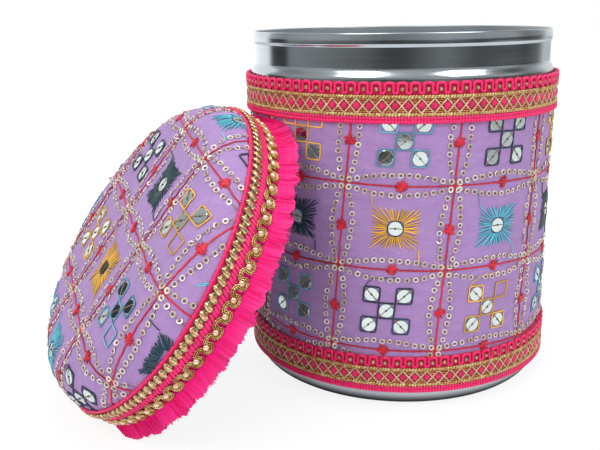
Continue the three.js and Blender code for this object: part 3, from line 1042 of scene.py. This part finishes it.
def steel_pot():
    corner = (pot_radius - BASE_CORNER, BASE_CORNER)
    neck = pot_radius - NECK_INSET
    neck_low = WALL_TOP + SHOULDER_HEIGHT
    hem = neck + HEM_STEP
    hem_low = rim_top - HEM_HEIGHT
    lip = (HEM_STEP + STEEL_WALL) / 2
    rise = np.linspace(0, 1, 17)
    swing = (1 - np.cos(rise * math.pi)) / 2
    shoulder = np.stack([pot_radius - NECK_INSET * swing, WALL_TOP + SHOULDER_HEIGHT * rise], -1)
    share = np.linspace(0, 1, 14)[1:-1]
    straight = [(neck, neck_low + (hem_low - HEM_FOLD - neck_low) * part) for part in share]
    fold = np.stack([neck + HEM_STEP * swing, hem_low - HEM_FOLD * (1 - rise)], -1)
    hem_out = hem - HEM_LEAN * share + HEM_BULGE * np.sin(math.pi * share)
    hem_face = np.stack([hem_out, hem_low + (HEM_HEIGHT - lip) * share], -1)
    outer = [
        *arc(corner, BASE_CORNER, -math.pi / 2, 0, BASE_STEPS),
        *shoulder,
        *straight,
        *fold,
        *hem_face,
        *arc((hem - HEM_LEAN - lip, rim_top - lip), lip, 0, math.pi, LIP_STEPS),
    ]
    inner = [
        *(shoulder[::-1] - (STEEL_WALL, 0)),
        *arc(corner, BASE_CORNER - STEEL_WALL, 0, -math.pi / 2, BASE_STEPS),
    ]
    stock = Stock()
    turned(stock, [(0, 0), *outer, *inner, (0, STEEL_WALL)], STEEL_SEGMENTS)
    steel = steel_finish("pot_steel", lengths(np.array(outer))[-1])
    stock.piece("pot", "canister", steel, ["canister_pot"], "steel", STEEL_CREASE)


def steel_lid():
    corner = (lid_radius - LID_CORNER, plate_top - LID_CORNER)
    half = STEEL_WALL / 2
    stock = Stock()
    turned(stock, [
        (0, plate_top - STEEL_WALL),
        *arc(corner, LID_CORNER - STEEL_WALL, math.pi / 2, 0, LID_CORNER_STEPS),
        *arc((lid_radius - half, lid_edge + half), half, -math.pi, 0, LID_EDGE_STEPS),
        *arc(corner, LID_CORNER, 0, math.pi / 2, LID_CORNER_STEPS),
        (0, plate_top),
    ], STEEL_SEGMENTS, LID)
    # The lid's steel is satin all over, so its colour carries the inside's painted shade everywhere.
    stock.piece("lid_steel", "lid", steel_finish("lid_satin_and_shade_steel", 0), ["lid_pan"], "steel", STEEL_CREASE)


# Cloth

def sleeve():
    stock = Stock()
    band(stock, sleeve_ground, sleeve_low, sleeve_high - SLEEVE_TUCK, CLOTH, SLEEVE_CELLS)
    return stock.piece("sleeve", "canister", lilac, ["sleeve_cloth"], "lilac_cloth")


def polar(angles, shares, past):
    """Flat places on the lid's cloth, at shares of the way from its middle past the dome's foot."""
    turn = np.arange(angles) * TURN / angles
    way = shares[:, None] * (dome_ground.foot(turn) + past)
    return np.stack([way * np.cos(turn), way * np.sin(turn)], -1)


def lid_cloth():
    """The cover: its outer face from the crown to the edge, and its inner face back to the crown."""
    outer = polar(COVER_ANGLES, COVER_OUTER, -lid_edge)
    inner = polar(COVER_ANGLES, COVER_INNER, -lid_edge)
    places = np.concatenate([outer, inner])
    height = np.concatenate([np.zeros(len(outer)), np.full(len(inner), -CLOTH)])[:, None]
    stock = Stock()
    stock.sweep(dome_ground.at(places[..., 0], places[..., 1], height), places)
    return stock.piece("lid_cloth", "lid", lilac, ["lid_cover"], "lilac_cloth")


def lid_pad():
    """The foam under the cover, flat below."""
    places = polar(FOAM_ANGLES, FOAM_RINGS, -FOAM_INSET)
    top = dome_ground.at(places[..., 0], places[..., 1], -CLOTH - GLUE_GAP)
    under = to_frame(LID, top[-1]) * (1, 1, 0)
    rings = np.concatenate([top, from_frame(LID, under)[None]])
    stock = Stock()
    stock.sweep(rings, np.linspace(0, 1, len(rings)))
    return stock.piece("lid_foam", "lid", foam, ["lid_pad"], "foam")


# Lace

cord_pitch, _ = around(Wall(lace_in + RIB.lift * MM, STAND), CORD_PITCH)
# The gold cord's beads and the pink ribs' lobes are painted darker between them: painted shade in the
# furrows.
gold_cord = metal_thread_finish(
    "gold_cord", srgb(186, 114, 50), srgb(255, 232, 164), 0.8 * MM, furrow_shade=(cord_pitch, 1, 0.4))
pink_rib = yarn_finish("pink_rib", srgb(255, 26, 116), -cord_pitch, groove=0.5)


def hooped(name, body, ground, path, cord, finish, replaces, slot):
    """A piece that is one closed cord round a wall."""
    stock = Stock()
    lay(stock, ground, path, cord, True)
    stock.piece(name, body, finish, replaces, slot)


def looped(low, high):
    """The gimp's path: narrow bends below, and wide windows with round shoulders."""
    pitch, count = around(lace_ground, GIMP_PITCH)
    left = (pitch - GIMP_WINDOW) / 2
    right = pitch - left
    corners = [(0, low), (left, low), (left, high), (right, high), (right, low), (pitch, low)]
    radii = [GIMP_FOOT_CORNER, GIMP_TOP_CORNER, GIMP_TOP_CORNER, GIMP_FOOT_CORNER]
    path = finely(rounded(corners, radii, 6), GIMP_STEP)
    return repeated(path[:-1], pitch, count), pitch, count


def net(place, foot):
    """Two zigzags of gold wire that cross, silk lozenges between them and fine threads in the corners."""
    low, high = foot + NET_LOW, foot + NET_HIGH
    pitch, count = around(lace_ground, 2 * GIMP_PITCH)
    wires, fill, lozenges = Stock(), Stock(), Stock()
    for start, end in ((low, high), (high, low)):
        zigzag = finely(np.array([(0, start), (pitch / 2, end), (pitch, start)]), NET_STEP)[:-1]
        for side in (-1, 1):
            lay(wires, lace_ground, repeated(zigzag + (side * WIRE.wide * MM, 0), pitch, count), WIRE, True)
    for k in range(2 * count):
        x = (k + 0.5) * pitch / 2
        for edge, inward in ((low, 1), (high, -1)):
            for depth in FILL_DEPTHS:
                half = pitch / 4 * (1 - 2 * depth / (high - low)) - FILL_MARGIN
                y = edge + inward * depth
                lay(fill, lace_ground, [(x - half, y), (x, y), (x + half, y)], FILL)
    middles = [(k * pitch / 2, (low + high) / 2) for k in range(2 * count)]
    stand(lozenges, lace_ground, bead_form(*LOZENGE_FORM), middles, **LOZENGE)
    wires.piece(f"{place}_net", "canister", gold_wire, slot="gold_trim")
    fill.piece(f"{place}_net_threads", "canister", old_gold, slot="gold_trim")
    lozenges.piece(f"{place}_lozenges", "canister", lozenge_silk, slot="pink_trim")


def lace(place):
    foot = lace_foot[place]
    tape = Stock()
    band(tape, Wall(tape_out, STAND), foot, foot + TAPE_HEIGHT, tape_out - tape_in, TAPE_CELLS)
    made = tape.piece(f"{place}_tape", "canister", crimson_tape, [f"{place}_lace_tape"], "crimson_tape")
    TURN * tape_out

    ribs = Stock()
    for k in range(RIB_COUNT):
        path = hoop(lace_ground, foot + (2 * k + 1) * RIB.wide * MM, RIB_STEP)
        lay(ribs, lace_ground, path, RIB._replace(twist=cord_pitch / MM), True)
    ribs.piece(f"{place}_ribs", "canister", pink_rib, [f"{place}_edge_ribs"], "pink_trim")

    for k in (1, 2):
        node = f"{place}_gold_cord_{k}"
        low, high = span(node, STAND)[2:]
        path = hoop(lace_ground, (low + high) / 2, ZARI_STEP)
        cord = ZARI_CORD._replace(wide=(high - low) / 2 / MM, twist=cord_pitch / MM)
        hooped(f"{place}_zari_cord_{k}", "canister", lace_ground, path, cord, gold_cord, [node], "gold_trim")

    node = f"{place}_looped_gimp"
    low, high = span(node, STAND)[2:]
    path, pitch, count = looped(low + GIMP.wide * MM, high - GIMP.wide * MM)
    hooped(f"{place}_gimp", "canister", lace_ground, path, GIMP, pink_cord, [node], "pink_trim")
    beads = Stock()
    middles = [((k + 0.5) * pitch, (low + high) / 2 - GIMP_BEAD_DROP) for k in range(count)]
    stand(beads, lace_ground, bead_form(*GIMP_BEAD_FORM), middles, **GIMP_BEAD)
    beads.piece(f"{place}_gimp_beads", "canister", dull_gold, slot="gold_trim")
    net(place, foot)


# Trim of the lid

def lid_trim():
    wall = Wall(lid_tape_in, LID)
    low, high = span("lid_edge_cord", LID)[2:]
    path = hoop(wall, (low + high) / 2, EDGE_STEP)
    cord = EDGE_CORD._replace(wide=((high - low) / 2 + EDGE_SWELL) / MM)
    hooped("lid_rim_cord", "lid", wall, path, cord, pink_cord, ["lid_edge_cord"], "pink_trim")

    tape = Stock()
    band(tape, Wall(lid_tape_out, LID), lid_tape_low, lid_tape_high, lid_tape_out - lid_tape_in, TAPE_CELLS)
    made = tape.piece("lid_ribbon", "lid", pink_tape, ["lid_tape"], "pink_trim")
    TURN * lid_tape_out
    lid_tape_high - lid_tape_low

    chain_low = lid_tape_high - CHAIN_WIDTH
    wave_low = lid_edge + BRAID_MARGIN
    wave_high = wave_low + WAVE_WIDTH
    knit(wave_high, chain_low)
    chain(chain_low, lid_tape_high)
    wave(wave_low, wave_high)


def knit(low, high):
    """A row of fat slanted stitches along the ribbon."""
    stock = Stock()
    pitch, count = around(braid_ground, KNIT_PITCH)
    reach = (high - low) / 2 + KNIT_OVERLAP
    for k in range(count):
        x = (k + 0.5) * pitch + chance.normal(0, KNIT_STRAY)
        path = np.stack([x + KNIT_SLANT * KNIT_SHARES, (low + high) / 2 + reach * KNIT_SHARES], -1)
        lay(stock, braid_ground, path, KNIT)
    stock.piece("lid_knit", "lid", pink_stitch, slot="pink_trim")


def chain(low, high):
    """A flat rope of gold strands with painted shade in its furrows, over a dark core that is painted shade
    in its notches.
    """
    path = hoop(braid_ground, (low + high) / 2, CHAIN_STEP)
    half = (high - low) / 2 / (1 + CHAIN.depth) / MM
    pitch, _ = around(Wall(braid_in + CHAIN.lift * MM, LID), CHAIN_PITCH)
    # The rope's furrows between lobes get painted shade.
    gold_rope = metal_thread_finish(
        "gold_rope", srgb(186, 124, 60), srgb(255, 238, 188), -pitch / 3, 3 * CHAIN.lobes,
        1300.0, 0.75, 0.22, 0.5, (pitch, CHAIN.lobes, 0.36),
    )
    rope = CHAIN._replace(wide=half, twist=pitch / MM)
    # A dark core under the rope: painted shade in its notches.
    shade_core = CHAIN_SHADE_CORE._replace(wide=SHADE_CORE_WIDER * half)
    hooped("lid_chain", "lid", braid_ground, path, rope, gold_rope, ["lid_chain_braid"], "gold_trim")
    hooped("lid_chain_shade_core", "lid", braid_ground, path, shade_core, painted_shade_core, (), "gold_trim")


def wave(low, high):
    """A winding braid of three strands on a dark core, which is painted shade between the strands.

    Each bend that opens to the dome holds a bead, and the others have dark ties.
    """
    pitch, count = around(braid_ground, WAVE_PITCH)
    middle, swing = (low + high) / 2, (high - low) / 2 - WAVE_CORD
    share = np.arange(WAVE_STEPS) / WAVE_STEPS
    x = pitch * share + WAVE_BULGE * np.sin(2 * TURN * share)
    path = repeated(np.stack([x, middle - swing * np.cos(TURN * share)], -1), pitch, count)
    ahead = np.roll(path, -1, 0) - np.roll(path, 1, 0)
    ahead[[0, -1]] = ahead[[WAVE_STEPS, WAVE_STEPS - 1]]
    across = unit(np.stack([-ahead[:, 1], ahead[:, 0]], -1))
    strands = Stock()
    for offset, strand in zip(WAVE_OFFSETS, WAVE_STRANDS):
        lay(strands, braid_ground, path + across * offset * WAVE_CORD, strand, True)
    strands.piece("lid_wave", "lid", gold_braid, ["lid_wave_braid"], "gold_trim")
    # The dark core shows between the strands as painted shade.
    hooped("lid_wave_shade_core", "lid", braid_ground, path, WAVE_SHADE_CORE, painted_shade_core, (), "gold_trim")
    bends = np.arange(count) * pitch
    for name, shift, level, look, finish in (
        ("lid_beads", 0, middle + BEAD_RISE, BEAD, rose_bead),
        ("lid_ties", pitch / 2, low + TIE_RISE, TIE, tie_thread),
    ):
        stock = Stock()
        places = np.stack([bends + shift, np.full(count, level)], -1)
        stand(stock, braid_ground, bead_form(*BEAD_FORM), places, **look)
        stock.piece(name, "lid", finish, slot="gold_trim")


def bundle(stock, middles, thick):
    """Three-sided threads along rows of middles."""
    threads, steps = middles.shape[:2]
    ahead = unit(np.gradient(middles, axis=1))
    side = unit(np.cross(ahead, chance.normal(0, 1, (threads, 1, 3))))
    up = np.cross(side, ahead)
    turns = np.arange(3) * TURN / 3
    ring = np.cos(turns)[:, None] * side[:, :, None] + np.sin(turns)[:, None] * up[:, :, None]
    points = middles[:, :, None] + thick * ring
    index = np.arange(threads * steps * 3).reshape(threads, steps, 3)
    before, after = index[:, :-1], index[:, 1:]
    faces = np.stack([before, after, np.roll(after, -1, 2), np.roll(before, -1, 2)], -1)
    pieces = np.linalg.norm(np.diff(middles, axis=1), axis=2)
    spans = np.concatenate([np.zeros((threads, 1)), np.cumsum(pieces, 1)], 1)
    along = np.broadcast_to(spans[:, :, None, None], (threads, steps, 3, 1))
    place = np.concatenate([np.broadcast_to(np.arange(3)[:, None] / 3, along.shape), along], -1)
    corners = np.stack([place[:, :-1], place[:, 1:], place[:, 1:], place[:, :-1]], 3)
    ends = [
        (index[:, end][:, order], place[:, end][:, order])
        for end, order in ((0, [0, 2, 1]), (-1, [0, 1, 2]))
    ]
    stock.add(points.reshape(-1, 3), (faces.reshape(-1, 4), corners.reshape(-1, 4, 2)), *ends)


def combed(count, spread):
    """Random heights round a ring, each smoothed with its neighbours."""
    reach = 3 * spread
    raw = chance.normal(0, 1, count)
    weights = np.exp(-0.5 * (np.arange(-reach, reach + 1) / spread) ** 2)
    heights = np.convolve(np.concatenate([raw[-reach:], raw, raw[:reach]]), weights, "valid")
    return heights / heights.std()


def pressed(places, depth):
    """Keeps the pile off the floor and off the canister, where it lies flat."""
    places[..., 2] = np.maximum(places[..., 2], FLOOR_CLEAR[0] + FLOOR_CLEAR[1] * depth)
    reach = np.hypot(places[..., 0], places[..., 1])
    laced = places[..., 2] > lace_foot["upper"] - LACE_BELOW
    clear = np.where(laced, lace_out, sleeve_out) + WALL_CLEAR[0] + WALL_CLEAR[1] * depth
    places[..., :2] *= np.maximum(clear / reach, 1)[..., None]
    return places


def tufted(root, pitch, uneven):
    """How far the floss drops at places round the brush. Each tuft has a round end and its own length."""
    tuft, part = np.divmod(root / pitch, 1)
    drop = FRINGE_DROP * (1 - TUFT_NOTCH * (2 * part - 1) ** 2)
    return drop + uneven[tuft.astype(int) % len(uneven)]


def flared(wall, root):
    """How far the floss stands out: most near the top of the lid, where the canister presses on it."""
    near = np.maximum(np.sin(root / wall.radius - PRESSED_TURN), 0)
    return FRINGE_FLARE + FRINGE_PRESSED * near ** PRESSED_POWER


def pile(stock, wall, pitch, uneven):
    """The body of the brush: floss combed into fine grooves and tufts."""
    root = np.arange(PILE_COLUMNS) * wall.round() / PILE_COLUMNS
    off = 2 * (root / pitch % 1) - 1
    coarse, fine = [combed(PILE_COLUMNS, spread) for spread in UNEVEN_COLUMNS]
    drop = PILE_START + tufted(root, pitch, uneven) + PILE_UNEVEN[0] * coarse + PILE_UNEVEN[1] * fine
    swell = sum(size * combed(PILE_COLUMNS, spread) for size, spread in zip(PILE_SWELL, SWELL_COLUMNS))
    flare = flared(wall, root) - PILE_ROUND * off ** 2 + swell
    share = np.linspace(1, 0, 9)
    faces = []
    for depth, part in ((0, share), (1, share[::-1])):
        x = root[:, None] + PILE_SWAY * coarse[:, None] * part
        way = drop[:, None] * part
        out = PILE_ROOT[depth] + (flare - FRINGE_DEPTH * depth)[:, None] * part ** FRINGE_CURVE
        face = pressed(wall.at(x, lid_edge + PILE_START - way, out), depth)
        faces.append((face, np.stack([x, way], -1)))
    places, mapped = [np.concatenate(pair, 1) for pair in zip(*faces)]
    stock.sweep(places, np.concatenate([mapped, mapped[:1]]), True)


def strays(stock, wall, pitch, uneven):
    """Single threads over the body of the brush and a little past its tips."""
    root = chance.uniform(0, wall.round(), STRANDS)
    off = 2 * (root / pitch % 1) - 1
    share = np.linspace(0, 1, 4)
    depth = chance.uniform(0, 1, STRANDS) ** 1.5
    drop = STRAY_START + tufted(root, pitch, uneven) + chance.normal(STRAY_PAST, STRAY_UNEVEN, STRANDS)
    flare = flared(wall, root) - STRAY_DEPTH * depth - STRAY_ROUND * off ** 2
    sway = chance.normal(0, STRAY_SWAY, STRANDS)
    x = root[:, None] + sway[:, None] * share ** 1.5
    y = lid_edge + STRAY_START - drop[:, None] * share
    out = STRAY_ROOT[0] - STRAY_ROOT[1] * depth[:, None] + flare[:, None] * share ** FRINGE_CURVE
    bundle(stock, pressed(wall.at(x, y, out), depth[:, None]), STRAND)


def fringe():
    """A brush of cut floss in tufts, which hangs from a woven heading."""
    stock = Stock()
    wall = Wall(lid_tape_out, LID)
    band(stock, wall, lid_edge, lid_edge + HEADING, lid_tape_out - lid_tape_in, HEADING_CELLS)
    pitch, count = around(wall, TUFT_PITCH)
    uneven = chance.normal(0, TUFT_UNEVEN, count)
    pile(stock, wall, pitch, uneven)
    strays(stock, wall, pitch, uneven)
    stock.piece("lid_brush", "lid", fringe_silk, ["lid_fringe"], "pink_fringe")


# Embroidery

class Work:
    """The embroidery of one cloth: threads by colour, sequins and mirrors."""

    def __init__(self, ground, grid, shown, bare):
        self.ground, self.grid, self.shown, self.bare = ground, grid, shown, bare
        self.threads = {colour: Stock() for colour in THREADS}
        self.sequins, self.mirrors = [], []
        self.ways = unit(grid.steps)

    def stitch(self, colour, path, cord):
        """A thread along a path, as far as it is in sight."""
        path = np.asarray(path, float)
        seen = self.shown(*path.T)
        if seen.sum() > 1:
            sizes = [np.broadcast_to(size, len(path))[seen] for size in cord[:3]]
            lay(self.threads[colour], self.ground, path[seen], Cord(*sizes, *cord[3:]))

    def line(self, start, end):
        """A couched red line, with a bowed row of sequins on each side and a star at its middle."""
        first = self.grid.at(*start)
        along = self.grid.at(*end) - first
        length = np.linalg.norm(along)
        across = np.array([-along[1], along[0]]) / length

        def bowed(shares, ends, middle):
            share = np.asarray(shares)[:, None]
            return first + share * along + (ends + (middle - ends) * np.sin(math.pi * share)) * across

        line = bowed(LINE_SHARES, 0, chance.normal(0, LINE_STRAY))
        self.stitch("red", line, RED_STITCH)
        count = round(length / SEQUIN_PITCH)
        for side in (1, -1):
            bow = [side * reach for reach in BOW]
            self.stitch("zari", bowed(ZARI_SHARES, *bow), ZARI_STITCH)
            places = bowed((np.arange(count) + 0.5) / count, *bow)
            self.sequins.extend(places + chance.normal(0, SEQUIN_STRAY, places.shape))
        self.star(line[len(line) // 2])

    def star(self, middle):
        for k in range(STAR_POINTS):
            turn = TURN * (k + chance.uniform(-STAR_STRAY, STAR_STRAY)) / STAR_POINTS
            reach = STAR * chance.uniform(*STAR_LENGTHS)
            way = np.array([math.cos(turn), math.sin(turn)])
            self.stitch("red", middle + STAR_SHARES * reach * way, STAR_STITCH)

    def from_middle(self, cell, places):
        """Places given from the middle of a cell, along its columns and rows."""
        return self.grid.at(cell[0] + 0.5, cell[1] + 0.5) + np.asarray(places, float) @ self.ways

    def burst(self, colour, cell):
        """Long stitches all round a mirror, longest at the four corners. One that an edge cuts has more."""
        whole = self.shown(*self.from_middle(cell, (0, 0)))
        count = BURST_STITCHES if whole else 2 * BURST_STITCHES
        for k in range(count):
            turn = TURN * (k + chance.uniform(-BURST_STRAY, BURST_STRAY)) / count
            way = np.array([math.cos(turn), math.sin(turn)])
            widest = np.abs(way).max()
            corner = np.abs(way).min() / widest
            start = whole * BURST_HOLE * widest ** -0.6 * way
            reach = (1 + BURST_CORNER * corner ** 4) * chance.uniform(*BURST_LENGTHS)
            end = np.array(BURST) / widest * reach * way
            bow = chance.normal(0, BURST_BOW) * np.array([-way[1], way[0]])
            path = start + (end - start) * BURST_SHARES + bow * np.sin(math.pi * BURST_SHARES)
            self.stitch(colour, self.from_middle(cell, path), BURST_STITCH)
        ring = arc((0, 0), MIRROR + RING_MARGIN, 0, LOOP, RING_STEPS)
        self.stitch("navy", self.from_middle(cell, ring), RING_STITCH)
        self.mirror(cell, (0, 0), (1, 0))
        for side in (-1, 1):
            self.stitch(colour, self.from_middle(cell, finely(BURST_TAIL_PATH * side, MM)), BURST_TAIL)

    def mirror(self, cell, corner, way):
        """A round mirror with a thread over it and a knot at its middle."""
        middle = np.array(corner) * SQUARE
        place = self.from_middle(cell, middle)
        if not self.shown(*place, SEQUIN):
            return
        self.mirrors.append(place)
        over = middle + OVER_SHARES[:, None] * SQUARE / 2 * np.array(way)
        self.stitch("zari", self.from_middle(cell, over), OVER_STITCH)
        knot = np.array(arc((0, 0), KNOT_LOOP, 0, LOOP, KNOT_STEPS)) + middle
        self.stitch("navy", self.from_middle(cell, knot), KNOT_STITCH)

    def checker(self, colour, cell):
        """Five squares of thread with a mirror in each, set corner to corner."""
        square = finely(rounded(SQUARE_CORNERS, [SQUARE_ROUND] * 4, 3) * SQUARE / 2, SQUARE_STEP)
        for corner in ((0, 0), (-1, -1), (1, -1), (-1, 1), (1, 1)):
            self.stitch(colour, self.from_middle(cell, square + np.array(corner) * SQUARE), SQUARE_STITCH)
            if corner != self.bare.get(cell):
                self.mirror(cell, corner, corner if any(corner) else (1, -1))
        self.stitch(colour, self.from_middle(cell, finely(SQUARE_TAIL_PATH, MM)), ZARI_STITCH)

    def sew(self, columns, rows, motifs):
        sewn = {"burst": self.burst, "checker": self.checker}
        for i in range(*columns):
            for j in range(*rows):
                self.line((i, j), (i + 1, j))
                self.line((i, j), (i, j + 1))
                if j in motifs:
                    motif, shift = motifs[j]
                    sewn[motif](COLOURS[motif][(i + shift) % 3], (i, j))

    def pieces(self, name, body):
        for colour, stock in self.threads.items():
            stock.piece(f"{name}_{colour}_thread", body, thread_silk[colour])
        for kind, places, form, size, lift, tilt, finish, crease in (
            ("sequins", self.sequins, sequin_form(), 1, 0.3 * MM, 0.2, sequin_foil, 50),
            ("knots", self.sequins, bead_form(1, 1, 2, 6), KNOT, 0.4 * MM, 0.2, knot_thread, 50),
            ("mirrors", self.mirrors, mirror_form(), 1, 0.05 * MM, 0.025, mirror_glass, 10),
        ):
            places = np.array(places)
            stock = Stock()
            shown = places[self.shown(*places.T, SEQUIN)]
            stand(stock, self.ground, form, shown, lift, (size,) * 3, tilt)
            stock.piece(f"{name}_{kind}", body, finish, crease=crease)


def sleeve_shown(x, y, margin=0):
    above = y > lower_lace_top - UNDER_LACE + margin
    below = y < lace_foot["upper"] + UNDER_LACE - margin
    return above & below & (np.abs(x) < sleeve_ground.round() / 2 - MM)


def lid_shown(x, y, margin=0):
    return dome_ground.inside(x, y, margin - PAST_DOME)


# Studio

def stage_mesh(name, points, faces, finish):
    mesh = bpy.data.meshes.new(name)
    mesh.from_pydata(points, [], faces)
    mesh.materials.append(finish)
    made = added(name, mesh)
    return made


def floor():
    """A white floor, which keeps a faint shadow where the camera sees it and shows polished things a painted
    shadow near the base.
    """
    finish = Finish("floor", Roughness=1.0, Specular_IOR_Level=0, Emission_Color=grey(1))
    seen, glossy = finish.ray("Camera"), finish.ray("Glossy")
    away = finish.node("VectorMath", {0: finish.place()}, "Value", operation="LENGTH")
    # For glossy rays the floor close to the base is painted dark: a painted shadow in reflections.
    dark = glossy * away.spread(1, 0, *FLOOR_PAINTED_SHADOW_REACH)
    lit = dark.blend(grey(FLOOR_LIT), grey(FLOOR_PAINTED_SHADOW))
    glow = seen * away.spread(*FLOOR_GLOW, *FLOOR_GLOW_REACH)
    white = finish.driven(
        Base_Color=seen.blend(lit, grey(FLOOR_SHADOW)),
        Emission_Strength=glow + (glossy - dark) * FLOOR_SHINE,
    )
    corners = [(x * FLOOR_REACH, y * FLOOR_REACH, 0) for x, y in ((-1, -1), (1, -1), (1, 1), (-1, 1))]
    stage_mesh("floor", corners, [(0, 1, 2, 3)], white)


def reflected(name, points, faces, finish):
    """A card or panel that shows only in polished things."""
    made = stage_mesh(name, points, faces, finish)
    made.visible_camera = False
    made.visible_diffuse = False
    made.visible_shadow = False
    return made


def surround():
    """Cards round the object, whose brightness changes with the azimuth and from level to level."""
    stops = np.array(SURROUND).T
    azimuths = np.linspace(stops[0, 0], stops[0, -1], SURROUND_COLUMNS)
    neck, hem, over = [np.interp(azimuths, stops[0], row) for row in stops[1:]]
    foot = np.interp(azimuths, *np.array(SURROUND_FOOT).T)
    glow = np.concatenate([foot, foot, neck, neck, hem, hem, over, over])
    ring = SURROUND_RADIUS * np.stack([np.sin(np.radians(azimuths)), -np.cos(np.radians(azimuths))], -1)
    points = [(x, y, z) for z in SURROUND_LEVELS for x, y in ring]
    count = SURROUND_COLUMNS
    faces = [
        (row + n, row + n + 1, row + count + n + 1, row + count + n)
        for row in range(0, len(points) - count, count)
        for n in range(count - 1)
    ]
    finish = Finish("surround", Roughness=1.0, Base_Color=grey(0), Emission_Color=grey(1))
    card = finish.driven(Emission_Strength=finish.node("Attribute", {}, "Fac", attribute_name="Glow"))
    made = reflected("surround", points, faces, card)
    made.data.attributes.new("Glow", "FLOAT", "POINT").data.foreach_set("value", glow)


def panels():
    finish = Finish(
        "panels", Roughness=1.0, Base_Color=grey(0), Emission_Strength=PANEL_SHINE, Emission_Color=grey(1))
    width, height = PANEL_SIZE
    corners = [(x * width / 2, -1, z * height / 2) for x, z in ((-1, -1), (1, -1), (1, 1), (-1, 1))]
    for k, (azimuth, elevation) in enumerate(PANELS):
        tip = Matrix.Rotation(math.radians(-elevation), 4, "X")
        turn = Matrix.Rotation(math.radians(azimuth), 4, "Z") @ tip
        reflected(f"panel_{k}", [turn @ Vector(corner) for corner in corners], [(0, 1, 2, 3)], finish.made)


def lamps():
    for name, place, size, power_watts in LAMPS:
        lamp = bpy.data.lights.new(name, "AREA")
        lamp.shape = "RECTANGLE"
        lamp.size, lamp.size_y = size
        lamp.energy = power_watts
        made = added(name, lamp)
        made.location = place
        made.rotation_euler = (Vector(LAMP_TARGET) - Vector(place)).to_track_quat("-Z", "Y").to_euler()
        made.visible_glossy = False


def world():
    finish = Finish("studio", bpy.data.worlds, "Background", Color=grey(1))
    lit = finish.ray("Glossy").spread(WORLD_LIGHT, WORLD_SHINE)
    bpy.context.scene.world = finish.driven(Strength=lit.math("MAXIMUM", finish.ray("Camera")))


def camera():
    made = added("camera", bpy.data.cameras.new("camera"))
    made.data.lens = CAMERA_LENS
    made.data.sensor_width = CAMERA_SENSOR
    made.location = CAMERA_PLACE
    turn = Matrix.Rotation(math.pi / 2 - CAMERA_DOWN, 3, "X") @ Matrix.Rotation(CAMERA_ROLL, 3, "Z")
    made.rotation_euler = turn.to_euler()
    bpy.context.scene.camera = made


steel_pot()
sleeve()
TURN * sleeve_out
sleeve_high - SLEEVE_TUCK - sleeve_low
lace("lower")
lace("upper")
steel_lid()
lid_pad()
cut = dome_ground.rim.mean() - lid_edge
lid_cloth()
2 * cut
2 * cut
math.pi * cut ** 2
lid_trim()
fringe()

sleeve_work = Work(sleeve_ground, sleeve_grid, sleeve_shown, SLEEVE_BARE)
sleeve_work.sew(*SLEEVE_SEWN, SLEEVE_ROWS)
sleeve_work.pieces("sleeve", "canister")
lid_work = Work(dome_ground, lid_grid, lid_shown, LID_BARE)
lid_work.sew(*LID_SEWN, LID_ROWS)
lid_work.pieces("lid", "lid")

floor()
surround()
panels()
lamps()
world()
camera()
bpy.context.scene.view_settings.view_transform = "Standard"
